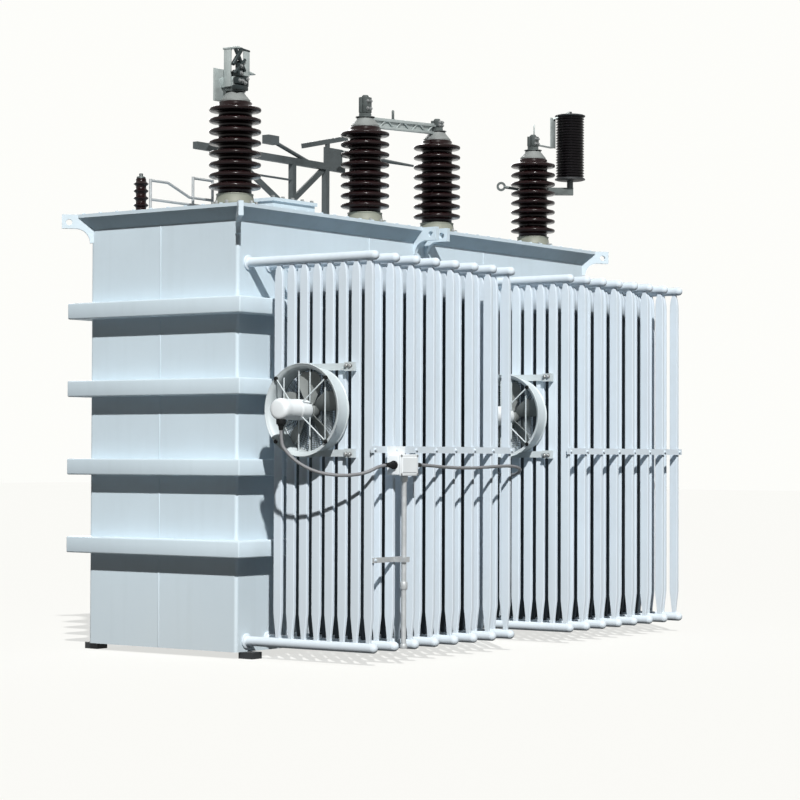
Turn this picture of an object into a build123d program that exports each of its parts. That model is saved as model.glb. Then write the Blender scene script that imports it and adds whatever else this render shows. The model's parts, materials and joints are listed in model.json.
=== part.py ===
from build123d import *
import math
import os

# Power transformer with two banks of air cooled radiators and one fan on each bank.
# Millimetres. X runs along the tank, the radiators stand on its -Y side and +Z is up.
# The origin is the middle of the tank on the floor.

# Tank on its skids
tank_length = 4410
tank_width = 1340
tank_height = 2976
tank_corner_radius = 22
skid_height = 45
skid_width = 100
skid_length = 120
skid_end_inset = 110
skid_overhang = 92

# Cover and the flared rim under it
cover_thickness = 24
cover_overhang = 80
rim_height = 82

# Box section belts around the tank
belt_depth = 115
belt_height = 112
belt_count = 4
belt_first_level = 690
belt_top_drop = 657

# Lifting lugs
lug_thickness = 34
lug_reach = 206
lug_nose_height = 98
lug_arch_radius = 100
lug_web = 10
lug_inset = 30
lug_hole_radius = 22
lug_hole_setback = 50
lug_hole_drop = 54
lug_pair_gap = 140

# Radiator banks
rows_per_bank = 8
fins_per_row = 8
bank_near_margin = 105
bank_far_margin = 312
bank_gap = 787
fin_pitch = 107
fin_depth = 76
fin_thickness = 34
fin_first_offset = 275
fin_neck_size = 34
fin_top_shoulder = 120
fin_round_inset = 6
fin_round_drop = 74
fin_neck_drop = 29
fin_bottom_taper = 190
header_radius = 32
header_length = 1092
header_top_drop = 364
header_bottom_level = 72
header_saddle_clearance = 0.3

# Straps across the outer fins
strap_level = 1355
strap_height = 44
strap_thickness = 8
strap_end_margin = 22

# Fans
fan_offset = 600
fan_level = 1612
fan_throat_radius = 272
fan_wall = 5
fan_depth = 150
fan_lip_width = 26
fan_lip_depth = 34
fan_standoff = 12
motor_radius = 70
motor_length = 301
motor_front_reach = 243
motor_edge_radius = 14
shaft_radius = 15
shaft_length = 45
shaft_clearance = 0.05
rotor_gap = 8
hub_radius = 62
hub_length = 58
blade_count = 5
blade_thickness = 5
blade_pitch = 32
blade_root_width = 84
blade_tip_width = 150
blade_tip_clearance = 20
blade_root_depth = 25
blade_shoulder_drop = 63
blade_corner_drop = 16
blade_corner_inset = 21
arm_radius = 7
arm_count = 4
arm_band_width = 30
arm_band_thickness = 6
arm_band_setback = 60
guard_bar_offsets = (-171, -46, 46, 171)
guard_bar_width = 12
guard_bar_thickness = 6
bracket_height = 46
bracket_thickness = 8
bracket_overlap = 14
bracket_inner_reach = 90
bracket_outer_reach = 330
clip_length = 70
clip_depth = 20
clip_rise = 6
gland_radius = 22
gland_length = 38
gland_setback = 38
gland_root = 10

# Junction box on the first bank, its conduit and its cables
box_length = 190
box_depth = 104
box_height = 132
box_offset = 333
box_level = 1255
box_plate_thickness = 6
box_corner_radius = 8
box_gland_length = 52
box_gland_radius = 21
box_gland_root = 4
conduit_radius = 17
conduit_offset = 13
conduit_bottom_level = 62
conduit_bracket_level = 640
conduit_bracket_height = 34
conduit_bracket_length = 315
conduit_bracket_lead = 60
conduit_clamp_wall = 10
cable_radius = 11

# Cable routes: share of the way along and across, and the drop below the junction box's level
cable_1_route = (
    (0, 0, -140),
    (0.03, 0.05, -90),
    (0.11, 0.17, -15),
    (0.25, 0.37, 48),
    (0.42, 0.63, 72),
    (0.58, 0.91, 56),
    (0.79, 1, 0),
)
cable_2_route = (
    (0.065, 0, 0),
    (0.2, -0.01, 16),
    (0.39, -0.02, 22),
    (0.57, -0.02, 10),
    (0.7, -0.01, 5),
    (0.785, 0.02, 25),
    (0.83, 0.16, 60),
    (0.87, 0.38, 78),
    (0.92, 0.65, 72),
    (0.97, 0.88, 10),
    (1, 1, -120),
)

# Bushings on the cover, placed as shares of the tank's length
bushing_line = 300
bushing_shares = (0.0728, 0.4116, 0.6215, 0.9315)
flange_radius = 152
flange_thickness = 26
base_ring_radius = 136
base_ring_top_radius = 122
base_ring_height = 86
core_radius = 116
shed_radius = 180
shed_count = 8
shed_pitch = 76
shed_first_level = 52
shed_slope_share = 0.34
shed_lip_share = 0.15
porcelain_height = 633
cap_radius = 88
cap_top_radius = 52
cap_height = 74
stud_radius = 38
stud_heights = (150, 165, 98, 130)

# Line terminal on the first bushing
terminal_clamp_size = 96
terminal_clamp_height = 70
terminal_clamp_lift = 30
terminal_plate_width = 176
terminal_plate_height = 226
terminal_plate_thickness = 12
terminal_plate_shift = 116
terminal_plate_lift = 8
terminal_cap_clearance = 2
terminal_front_width = 72
terminal_front_height = 250
terminal_front_start = 10
terminal_side_width = 62
terminal_side_edge = 55
terminal_total_height = 376

# Link between the second and third bushings
link_height = 66
link_thickness = 14
link_level = 4

# Surge arrester on a bracket at the far end
arrester_reach = 110
arrester_line = 200
arrester_radius = 112
arrester_shed_inset = 8
arrester_core_radius = 78
arrester_height = 505
arrester_shed_count = 11
arrester_cap_height = 26
arrester_base_level = 602
arrester_post_inset = 75
arrester_post_line = 455
arrester_post_size = 70
arrester_arm_height = 60
arrester_arm_width = 56
arrester_post_head = 12
arrester_stem_radius = 26
arrester_stem_height = 56
eye_reach = 256
eye_rise = 40
eye_radius = 38
eye_hole_radius = 20
eye_thickness = 20
eye_bar_radius = 12

# Small bushing by the end wall
small_offset = 138
small_line = 1000
small_radius = 49
small_core_radius = 36
small_height = 250
small_shed_count = 3
small_stud_radius = 14
small_stud_height = 34

# Thin pipe rail beside the small bushing
rail_radius = 10
rail_line = 1000
rail_start = 236
rail_end = 905
rail_low_level = 112
rail_bend_level = 164
rail_high_level = 246
rail_top_level = 306
rail_bend_start = 420
rail_bend_end = 650
rail_post = 690

# Hatch box on the cover
hatch_start = 990
hatch_length = 480
hatch_line = 670
hatch_width = 340
hatch_height = 140
hatch_lid_thickness = 24
hatch_lid_overhang = 14

# Bus frame on the cover behind the bushings, and its tapered bus bar
frame_line = 670
frame_post_size = 42
frame_rear_offset = 835
frame_first_offset = 1419
frame_second_offset = 1818
frame_height = 505
frame_beam_start = 330
frame_beam_overhang = 215
frame_beam_height = 50
frame_brace_level = 190
frame_strut_level = 398
frame_strut_end = 1290
frame_tie_level = 340
frame_tie_radius = 8
frame_plate_start = 1800
frame_plate_length = 215
frame_plate_height = 122
frame_plate_thickness = 14
lever_foot = 1660
lever_head = 1165
lever_rise = 104
lever_radius = 15
lever_block_length = 120
lever_block_size = 62
slant_start = 1535
slant_end = 2080
slant_low_rise = 100
slant_high_rise = 218
slant_height = 36
slant_thickness = 18
bus_radius = 25
bus_tip_radius = 9
bus_end_offset = 2940
bus_rise = 96
arm_bar_width = 44
arm_bar_thickness = 16

# Levels and faces that the sizes above lead to
tank_bottom = skid_height
tank_top = tank_bottom + tank_height
rim_bottom = tank_top - rim_height
cover_top = tank_top + cover_thickness
end_x = -tank_length / 2
wall_y = -tank_width / 2
fin_front_y = wall_y - fin_first_offset - (fins_per_row - 1) * fin_pitch - fin_depth / 2
fan_y = wall_y - fan_offset
fan_z = tank_bottom + fan_level
belt_spacing = (tank_height - belt_first_level - belt_top_drop) / (belt_count - 1)
bank_rows_length = (tank_length - bank_near_margin - bank_far_margin - bank_gap) / 2
row_pitch = bank_rows_length / (rows_per_bank - 1)
bank_1_start = end_x + bank_near_margin
bank_2_start = bank_1_start + bank_rows_length + bank_gap
bank_starts = (bank_1_start, bank_2_start)
bank_gap_middle = bank_2_start - bank_gap / 2

nodes = {}


def block(x0, x1, y0, y1, z0, z1):
    """A box between two corners."""
    middle = ((x0 + x1) / 2, (y0 + y1) / 2, (z0 + z1) / 2)
    return Pos(*middle) * Box(x1 - x0, y1 - y0, z1 - z0)


def rod(start, end, radius):
    """A round bar between two points."""
    axis = Vector(*end) - Vector(*start)
    plane = Plane(origin=start, z_dir=axis)
    return extrude(plane * Circle(radius), axis.length)


def flat_bar(start, end, width, thickness):
    """A flat bar in the XZ plane between two points, its thickness along Y."""
    axis = Vector(*end) - Vector(*start)
    plane = Plane(origin=start, x_dir=(0, 1, 0), z_dir=axis)
    return extrude(plane * Rectangle(thickness, width), axis.length)


def tank_outline(margin, radius):
    """The tank's plan, grown by a margin."""
    return RectangleRounded(tank_length + 2 * margin, tank_width + 2 * margin, radius)


# Tank, rim, cover, belts and skids
tank_body = Pos(0, 0, tank_bottom) * extrude(tank_outline(0, tank_corner_radius), tank_height)
nodes["tank_body"] = tank_body

rim_low = Pos(0, 0, rim_bottom) * Rectangle(tank_length, tank_width)
rim_high = Pos(0, 0, tank_top) * Rectangle(
    tank_length + 2 * cover_overhang, tank_width + 2 * cover_overhang
)
rim = loft([rim_low, rim_high]) - tank_body
nodes["tank_rim"] = rim

cover = Pos(0, 0, tank_top) * extrude(
    Rectangle(tank_length + 2 * cover_overhang, tank_width + 2 * cover_overhang), cover_thickness
)
nodes["cover_plate"] = cover

belt_plan = tank_outline(belt_depth, tank_corner_radius) - tank_outline(0, tank_corner_radius)
belts = []
for index in range(belt_count):
    level = tank_bottom + belt_first_level + index * belt_spacing - belt_height / 2
    belts.append(Pos(0, 0, level) * extrude(belt_plan, belt_height))
nodes["stiffener_belts"] = Compound(children=belts)

skid_span = tank_width + 2 * skid_overhang
skids = [Pos(0, 0, skid_height / 2) * Box(skid_width, skid_span, skid_height)]
for x in (end_x + skid_end_inset, -end_x - skid_end_inset):
    for side in (-1, 1):
        y = side * (skid_span - skid_length) / 2
        skids.append(Pos(x, y, skid_height / 2) * Box(skid_width, skid_length, skid_height))
nodes["base_skids"] = Compound(children=skids)

# Lifting lugs: one plate at each corner and a pair between the banks on each long side
lug_root = lug_nose_height + lug_arch_radius
lug_arch_end = lug_web + lug_arch_radius
lug_arch = CenterArc((lug_arch_end, -lug_root), lug_arch_radius, 90, 90)
lug_edge = Polyline(
    (lug_arch_end, -lug_nose_height),
    (lug_reach, -lug_nose_height),
    (lug_reach, 0),
    (-lug_inset, 0),
    (-lug_inset, -lug_root),
    (lug_web, -lug_root),
)
lug_face = make_face(lug_arch + lug_edge)
lug_face -= Pos(lug_reach - lug_hole_setback, -lug_hole_drop) * Circle(lug_hole_radius)


def lug(x, y, turn):
    """A lug plate standing out from a point of the wall, turned about the vertical."""
    outward = Vector(math.cos(math.radians(turn)), math.sin(math.radians(turn)), 0)
    plane = Plane(origin=(x, y, cover_top), x_dir=outward, z_dir=outward.cross(Vector(0, 0, 1)))
    plate = extrude(plane * lug_face, lug_thickness / 2, both=True)
    return plate - tank_body - rim - cover


lugs = []
for sign_x in (-1, 1):
    for sign_y in (-1, 1):
        turn = math.degrees(math.atan2(sign_y, sign_x))
        lugs.append(lug(sign_x * tank_length / 2, sign_y * tank_width / 2, turn))
for sign_y in (-1, 1):
    for side in (-1, 1):
        x = bank_gap_middle + side * lug_pair_gap / 2
        lugs.append(lug(x, sign_y * tank_width / 2, 90 * sign_y))
nodes["lifting_lugs"] = Compound(children=lugs)

# Radiators
header_top = tank_top - header_top_drop
header_bottom = tank_bottom + header_bottom_level
fin_half = fin_thickness / 2
fin_half_depth = fin_depth / 2
neck_half = fin_neck_size / 2


def fin_side():
    """The side view of a fin: straight edges with a rounded shoulder and a long tapered foot."""
    points = [
        (neck_half, header_bottom),
        (fin_half_depth, header_bottom + fin_bottom_taper),
        (fin_half_depth, header_top - fin_top_shoulder),
        (fin_half_depth - fin_round_inset, header_top - fin_round_drop),
        (neck_half, header_top - fin_neck_drop),
        (neck_half, header_top),
    ]
    mirrored = [(-u, v) for u, v in reversed(points)]
    return Plane.YZ * make_face(Polyline(*points, *mirrored, close=True))


# An oval tube, trimmed to the side view and saddled onto the headers
fin_section = Pos(0, 0, header_bottom) * SlotOverall(fin_depth, fin_thickness, rotation=90)
fin = extrude(fin_section, header_top - header_bottom) & extrude(fin_side(), fin_half, both=True)
for level in (header_top, header_bottom):
    fin -= rod((0, -fin_depth, level), (0, fin_depth, level), header_radius + header_saddle_clearance)


def header(x, z):
    """A header pipe from the wall to its domed free end."""
    tip = wall_y - header_length + header_radius
    pipe = rod((x, wall_y, z), (x, tip, z), header_radius)
    return pipe + Pos(x, tip, z) * Sphere(header_radius)


for bank, start in enumerate(bank_starts, start=1):
    pipes = []
    for row in range(rows_per_bank):
        x = start + row * row_pitch
        pipes.append(header(x, header_top))
        pipes.append(header(x, header_bottom))
        fins = []
        for index in range(fins_per_row):
            fins.append(Pos(x, wall_y - fin_first_offset - index * fin_pitch, 0) * fin)
        nodes[f"bank_{bank}_fin_row_{row + 1}"] = Compound(children=fins)
    nodes[f"bank_{bank}_headers"] = Compound(children=pipes)

straps = []
for start in bank_starts:
    straps.append(
        block(
            start - fin_half - strap_end_margin,
            start + bank_rows_length + fin_half + strap_end_margin,
            fin_front_y - strap_thickness,
            fin_front_y,
            tank_bottom + strap_level - strap_height / 2,
            tank_bottom + strap_level + strap_height / 2,
        )
    )
nodes["radiator_straps"] = Compound(children=straps)


# Fans
def fan_ring(rim_x):
    """A short round duct with a flared front lip, open at both ends."""
    inner = fan_throat_radius
    outer = inner + fan_wall
    flare = outer + fan_lip_width
    outline = Polyline(
        (inner, fan_depth),
        (inner, fan_lip_depth),
        (inner + fan_lip_width, 0),
        (flare, 0),
        (outer, fan_lip_depth),
        (outer, fan_depth),
        close=True,
    )
    face = Plane.XZ * make_face(outline)
    ring = revolve(face, Axis.Z)
    return Pos(rim_x, fan_y, fan_z) * Rot(0, 90, 0) * ring


def fan_outside(rim_x):
    """Everything around the air passage, used to trim what reaches to the duct's inner face."""
    inner = fan_throat_radius
    beyond = 2 * inner
    outline = Polyline(
        (inner, fan_depth),
        (inner, fan_lip_depth),
        (inner + fan_lip_width, 0),
        (beyond, 0),
        (beyond, fan_depth),
        close=True,
    )
    face = Plane.XZ * make_face(outline)
    return Pos(rim_x, fan_y, fan_z) * Rot(0, 90, 0) * revolve(face, Axis.Z)


def fan_motor(rim_x):
    """The motor with its clamp band, its shaft and the cable gland under its front end."""
    front = rim_x - motor_front_reach
    back = front + motor_length
    body = rod((front, fan_y, fan_z), (back, fan_y, fan_z), motor_radius)
    body = fillet(body.edges().filter_by(GeomType.CIRCLE), motor_edge_radius)
    band_x = rim_x - arm_band_setback
    band_radius = motor_radius + arm_band_thickness
    band = rod((band_x, fan_y, fan_z), (band_x + arm_band_width, fan_y, fan_z), band_radius)
    shaft_root = back - shaft_length
    shaft = rod((shaft_root, fan_y, fan_z), (back + shaft_length, fan_y, fan_z), shaft_radius)
    gland_x = front + gland_setback
    gland_top = fan_z - motor_radius + gland_root
    gland_bottom = fan_z - motor_radius - gland_length
    gland = rod((gland_x, fan_y, gland_top), (gland_x, fan_y, gland_bottom), gland_radius)
    return body + band + shaft + gland


def fan_rotor(rim_x):
    """A hub with pitched paddle blades."""
    back = rim_x - motor_front_reach + motor_length
    hub_front = back + rotor_gap
    hub_back = hub_front + hub_length
    hub = rod((hub_front, fan_y, fan_z), (hub_back, fan_y, fan_z), hub_radius)
    bore_end = back + shaft_length + shaft_clearance
    bore = rod((back, fan_y, fan_z), (bore_end, fan_y, fan_z), shaft_radius + shaft_clearance)
    tip = fan_throat_radius - blade_tip_clearance
    root = hub_radius - blade_root_depth
    half_root = blade_root_width / 2
    half_tip = blade_tip_width / 2
    corner = half_tip - blade_corner_inset
    paddle = make_face(
        Polyline(
            (-half_root, root),
            (-half_tip, tip - blade_shoulder_drop),
            (-corner, tip - blade_corner_drop),
            (0, tip),
            (corner, tip - blade_corner_drop),
            (half_tip, tip - blade_shoulder_drop),
            (half_root, root),
            close=True,
        )
    )
    blade = extrude(Plane.YZ * paddle, blade_thickness / 2, both=True)
    blade = Rot(0, 0, blade_pitch) * blade
    rotor = hub
    middle = hub_front + hub_length / 2
    for index in range(blade_count):
        rotor += Pos(middle, fan_y, fan_z) * Rot(360 * index / blade_count, 0, 0) * blade
    return rotor - bore


def fan_guard(rim_x, motor):
    """Arms from the duct's lip to the motor's band, and upright bars across the mouth."""
    outside = fan_outside(rim_x)
    band_x = rim_x - arm_band_setback
    lip = fan_throat_radius + fan_lip_width
    pieces = []
    for index in range(arm_count):
        angle = math.radians(45 + 360 * index / arm_count)
        dy = math.cos(angle)
        dz = math.sin(angle)
        band_middle = band_x + arm_band_width / 2
        inner = (band_middle, fan_y + dy * motor_radius, fan_z + dz * motor_radius)
        outer = (rim_x + fan_lip_depth / 2, fan_y + dy * lip, fan_z + dz * lip)
        pieces.append(rod(inner, outer, arm_radius) - motor - outside)
    for offset in guard_bar_offsets:
        half = math.sqrt(fan_throat_radius**2 - offset**2) + fan_wall
        y = fan_y + offset
        bar = block(
            rim_x + fan_lip_depth,
            rim_x + fan_lip_depth + guard_bar_thickness,
            y - guard_bar_width / 2,
            y + guard_bar_width / 2,
            fan_z - half,
            fan_z + half,
        )
        pieces.extend((bar - motor - outside).solids())
    return Compound(children=pieces)


def fan_brackets(rim_x):
    """Bars above and below the duct, clipped to the fins at both ends."""
    back = rim_x + fan_depth + fan_standoff
    front = back - fan_standoff - bracket_thickness
    bore = rod((rim_x, fan_y, fan_z), (back, fan_y, fan_z), fan_throat_radius + fan_wall)
    left = fan_y - bracket_outer_reach
    right = fan_y + bracket_inner_reach
    pieces = []
    for side in (-1, 1):
        near = fan_z + side * (fan_throat_radius - bracket_overlap)
        far = near + side * bracket_height
        low = min(near, far)
        high = max(near, far)
        bar = block(front, back, left, right, low, high)
        for y in (left, right - clip_length):
            clip = block(
                front - clip_depth, back, y, y + clip_length, low - clip_rise, high + clip_rise
            )
            bar += clip
        pieces.append(bar - bore)
    return Compound(children=pieces)


for fan, start in enumerate(bank_starts, start=1):
    rim_x = start - fin_half - fan_standoff - fan_depth
    ring = fan_ring(rim_x)
    motor = fan_motor(rim_x)
    nodes[f"fan_{fan}_ring"] = ring
    nodes[f"fan_{fan}_motor"] = motor
    nodes[f"fan_{fan}_guard"] = fan_guard(rim_x, motor)
    nodes[f"fan_{fan}_brackets"] = fan_brackets(rim_x)
    nodes[f"fan_{fan}_rotor"] = fan_rotor(rim_x)

# Junction box with its back plate, conduit and cables
strap_front = fin_front_y - strap_thickness
box_x = end_x + box_offset
box_z = tank_bottom + box_level
box_back = strap_front - box_plate_thickness
box_middle = box_back - box_depth / 2
box_plate = block(
    box_x - box_length / 2,
    box_x + box_length / 2,
    box_back,
    strap_front,
    box_z - box_height / 2,
    tank_bottom + strap_level + strap_height / 2,
)
nodes["junction_box_plate"] = box_plate
box_body = block(
    box_x - box_length / 2,
    box_x + box_length / 2,
    box_back - box_depth,
    box_back,
    box_z - box_height / 2,
    box_z + box_height / 2,
)
box_body = fillet(box_body.edges().filter_by(Axis.Y), box_corner_radius)
for side in (-1, 1):
    face_x = box_x + side * box_length / 2
    box_body += rod(
        (face_x - side * box_gland_root, box_middle, box_z),
        (face_x + side * box_gland_length, box_middle, box_z),
        box_gland_radius,
    )
nodes["junction_box"] = box_body

conduit_x = box_x + conduit_offset
nodes["conduit"] = rod(
    (conduit_x, box_middle, tank_bottom + conduit_bottom_level),
    (conduit_x, box_middle, box_z - box_height / 2),
    conduit_radius,
)
bracket_z = tank_bottom + conduit_bracket_level
bracket = block(
    conduit_x + conduit_bracket_lead - conduit_bracket_length,
    conduit_x + conduit_bracket_lead,
    fin_front_y - strap_thickness,
    fin_front_y,
    bracket_z - conduit_bracket_height / 2,
    bracket_z + conduit_bracket_height / 2,
)
clamp_half = conduit_radius + conduit_clamp_wall
bracket += block(
    conduit_x - clamp_half,
    conduit_x + clamp_half,
    box_middle - clamp_half,
    fin_front_y - strap_thickness,
    bracket_z - conduit_bracket_height / 2,
    bracket_z + conduit_bracket_height / 2,
)
bracket -= rod(
    (conduit_x, box_middle, bracket_z - conduit_bracket_height),
    (conduit_x, box_middle, bracket_z + conduit_bracket_height),
    conduit_radius,
)
nodes["conduit_clamp"] = bracket


def cord(points):
    """A round cable along straight runs joined by tangent arcs."""
    radii = []
    for before, here, after in zip(points, points[1:], points[2:]):
        first = Vector(*here) - Vector(*before)
        second = Vector(*after) - Vector(*here)
        half_turn = math.radians(first.get_angle(second)) / 2
        radii.append(0.45 * min(first.length, second.length) / math.tan(half_turn))
    print("cable points", [tuple(round(value, 1) for value in point) for point in points])
    print("cable bend radii", [round(radius) for radius in radii])
    path = FilletPolyline(*points, radius=radii)
    print("cable length", round(path.length))
    section = Plane(origin=points[0], z_dir=path % 0) * Circle(cable_radius)
    return sweep(section, path)


def cable_points(start, end, route):
    """The route's points between two ends, with drops below the junction box's level."""
    points = [start]
    for along, across, drop in route:
        x = start[0] + along * (end[0] - start[0])
        y = start[1] + across * (end[1] - start[1])
        points.append((x, y, box_z - drop))
    points.append(end)
    return points


gland_exit_z = fan_z - motor_radius - gland_length
gland_back = fin_half + fan_standoff + fan_depth + motor_front_reach - gland_setback
gland_1 = (bank_1_start - gland_back, fan_y, gland_exit_z)
gland_2 = (bank_2_start - gland_back, fan_y, gland_exit_z)
box_gland_reach = box_length / 2 + box_gland_length
box_entry = (box_x - box_gland_reach, box_middle, box_z)
box_exit = (box_x + box_gland_reach, box_middle, box_z)
nodes["fan_1_cable"] = cord(cable_points(gland_1, box_entry, cable_1_route))
nodes["fan_2_cable"] = cord(cable_points(box_exit, gland_2, cable_2_route))


# Bushings
def column(radius, wide, height, count, pitch, first):
    """A porcelain column with equal sheds, as a solid of revolution."""
    slope = pitch * shed_slope_share
    lip = pitch * shed_lip_share
    points = [(0, 0), (radius, 0)]
    for index in range(count):
        level = first + index * pitch
        points.append((radius, level - slope))
        points.append((wide, level - lip))
        points.append((wide, level))
        points.append((radius, level + slope))
    points.append((radius, height))
    points.append((0, height))
    return revolve(Plane.XZ * make_face(Polyline(*points, close=True)), Axis.Z)


def spindle(lower, upper, height):
    """A short cone or cylinder standing on the origin."""
    if lower == upper:
        return extrude(Circle(lower), height)
    return loft([Circle(lower), Pos(0, 0, height) * Circle(upper)])


bushing_y = wall_y + bushing_line
bushing_xs = [end_x + share * tank_length for share in bushing_shares]
ring_level = cover_top + flange_thickness
porcelain_level = ring_level + base_ring_height
cap_level = porcelain_level + porcelain_height
stud_level = cap_level + cap_height
flange = extrude(Circle(flange_radius), flange_thickness)
base_ring = spindle(base_ring_radius, base_ring_top_radius, base_ring_height)
porcelain = column(
    core_radius, shed_radius, porcelain_height, shed_count, shed_pitch, shed_first_level
)
cap = spindle(cap_radius, cap_top_radius, cap_height)
stacks = (
    ("bushing_flanges", flange, cover_top),
    ("bushing_base_rings", base_ring, ring_level),
    ("bushing_porcelains", porcelain, porcelain_level),
    ("bushing_caps", cap, cap_level),
)
for name, piece, level in stacks:
    copies = [Pos(x, bushing_y, level) * piece for x in bushing_xs]
    nodes[name] = Compound(children=copies)
studs = []
for x, height in zip(bushing_xs, stud_heights):
    studs.append(Pos(x, bushing_y, stud_level) * extrude(Circle(stud_radius), height))
nodes["bushing_studs"] = Compound(children=studs)

# Line terminal: a clamp on the first bushing's stud and the plates bolted to it
first_x = bushing_xs[0]
clamp_bottom = stud_level + terminal_clamp_lift
clamp_top = clamp_bottom + terminal_clamp_height
rear_y = bushing_y + cap_radius + terminal_cap_clearance
terminal = block(
    first_x - terminal_clamp_size / 2,
    first_x + terminal_clamp_size / 2,
    bushing_y - terminal_clamp_size / 2,
    rear_y,
    clamp_bottom,
    clamp_top,
)
plate_x = first_x - terminal_plate_shift
plate_bottom = cap_level + terminal_plate_lift
terminal += block(
    plate_x,
    plate_x + terminal_plate_width,
    rear_y,
    rear_y + terminal_plate_thickness,
    plate_bottom,
    plate_bottom + terminal_plate_height,
)
front_y = bushing_y - terminal_clamp_size / 2
front_x = first_x + terminal_front_start
terminal += block(
    front_x,
    front_x + terminal_front_width,
    front_y - terminal_plate_thickness,
    front_y,
    clamp_bottom,
    clamp_bottom + terminal_front_height,
)
terminal += block(
    first_x - terminal_clamp_size / 2 - terminal_plate_thickness,
    first_x - terminal_clamp_size / 2,
    bushing_y + terminal_side_edge - terminal_side_width,
    bushing_y + terminal_side_edge,
    clamp_bottom,
    cap_level + terminal_total_height,
)
stud_hole = extrude(Circle(stud_radius), terminal_total_height)
terminal -= Pos(first_x, bushing_y, stud_level) * stud_hole
nodes["line_terminal"] = terminal

# Link bar between the second and third bushings, its ends shaped to their caps
link = block(
    bushing_xs[1],
    bushing_xs[2],
    bushing_y - link_thickness / 2,
    bushing_y + link_thickness / 2,
    cap_level + link_level,
    cap_level + link_level + link_height,
)
for x in bushing_xs[1:3]:
    link -= Pos(x, bushing_y, cap_level) * cap
    link -= Pos(x, bushing_y, stud_level) * extrude(Circle(stud_radius), link_height)
nodes["bushing_link"] = link

# Surge arrester on an arm from a post, with a tie eye behind
far_x = tank_length / 2
arrester_x = far_x + arrester_reach
arrester_y = wall_y + arrester_line
post_x = far_x - arrester_post_inset
post_y = wall_y + arrester_post_line
arrester_base = cover_top + arrester_base_level
arm_top = arrester_base - arrester_stem_height
arm_middle = arm_top - arrester_arm_height / 2
post_height = arm_top + arrester_post_head - cover_top
post_section = Rectangle(arrester_post_size, arrester_post_size)
post = Pos(post_x, post_y, cover_top) * extrude(post_section, post_height)
reach = Vector(arrester_x - post_x, arrester_y - post_y, 0)
arm_plane = Plane(origin=(post_x, post_y, arm_middle), z_dir=reach, x_dir=(0, 0, 1))
arm_section = arm_plane * Rectangle(arrester_arm_height, arrester_arm_width)
arm = extrude(arm_section, reach.length + arrester_stem_radius)
stem = Pos(arrester_x, arrester_y, arm_top) * extrude(Circle(arrester_stem_radius), arrester_stem_height)
back = reach.normalized() * -eye_reach
eye_point = (post_x + back.X, post_y + back.Y, arm_middle + eye_rise)
eye_bar = rod((post_x, post_y, arm_middle), eye_point, eye_bar_radius)
eye_plane = Plane(origin=eye_point, x_dir=reach, z_dir=reach.cross(Vector(0, 0, 1)))
eye = extrude(eye_plane * Circle(eye_radius), eye_thickness / 2, both=True)
eye_hole = extrude(eye_plane * Circle(eye_hole_radius), eye_thickness, both=True)
nodes["arrester_bracket"] = post + arm + stem + eye_bar + eye - eye_hole

arrester_pitch = arrester_height / arrester_shed_count
shed_edge = arrester_radius - arrester_shed_inset
housing = column(
    arrester_core_radius,
    shed_edge,
    arrester_height,
    arrester_shed_count,
    arrester_pitch,
    arrester_pitch / 2,
)
housing_base = arrester_base + arrester_cap_height
nodes["arrester_housing"] = Pos(arrester_x, arrester_y, housing_base) * housing
end_cap = extrude(Circle(arrester_radius), arrester_cap_height)
caps = [
    Pos(arrester_x, arrester_y, arrester_base) * end_cap,
    Pos(arrester_x, arrester_y, housing_base + arrester_height) * end_cap,
]
nodes["arrester_caps"] = Compound(children=caps)

# Small bushing
small_pitch = small_height / (small_shed_count + 1)
small = column(small_core_radius, small_radius, small_height, small_shed_count, small_pitch, small_pitch)
small += Pos(0, 0, small_height) * extrude(Circle(small_stud_radius), small_stud_height)
nodes["small_bushing"] = Pos(end_x + small_offset, wall_y + small_line, cover_top) * small

# Thin pipe rail beside the small bushing
rail_y = wall_y + rail_line


def rail_bar(x0, z0, x1, z1):
    """A rail bar between two offsets along the tank and levels over the cover."""
    start = (end_x + x0, rail_y, cover_top + z0)
    end = (end_x + x1, rail_y, cover_top + z1)
    return rod(start, end, rail_radius)


rail = rail_bar(rail_start, 0, rail_start, rail_high_level + rail_radius)
rail += rail_bar(rail_start, rail_high_level, rail_bend_start, rail_high_level)
rail += rail_bar(rail_bend_start, rail_high_level, rail_bend_end, rail_bend_level)
rail += rail_bar(rail_bend_end, rail_bend_level, rail_end, rail_bend_level)
rail += rail_bar(rail_start, rail_low_level, rail_end, rail_low_level)
rail += rail_bar(rail_post, 0, rail_post, rail_top_level + rail_radius)
rail += rail_bar(rail_post, rail_top_level, rail_end, rail_top_level)
rail += rail_bar(rail_end, 0, rail_end, rail_top_level + rail_radius)
for x, z in ((rail_bend_start, rail_high_level), (rail_bend_end, rail_bend_level)):
    rail += Pos(end_x + x, rail_y, cover_top + z) * Sphere(rail_radius)
nodes["cover_rail"] = rail

# Hatch box with its lid
hatch_x = end_x + hatch_start + hatch_length / 2
hatch_y = wall_y + hatch_line
hatch_walls = Pos(hatch_x, hatch_y, cover_top) * extrude(
    Rectangle(hatch_length, hatch_width), hatch_height
)
nodes["hatch_box"] = hatch_walls
lid_plan = Rectangle(
    hatch_length + 2 * hatch_lid_overhang, hatch_width + 2 * hatch_lid_overhang
)
hatch_lid_top = cover_top + hatch_height + hatch_lid_thickness
nodes["hatch_lid"] = Pos(hatch_x, hatch_y, cover_top + hatch_height) * extrude(
    lid_plan, hatch_lid_thickness
)

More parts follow.
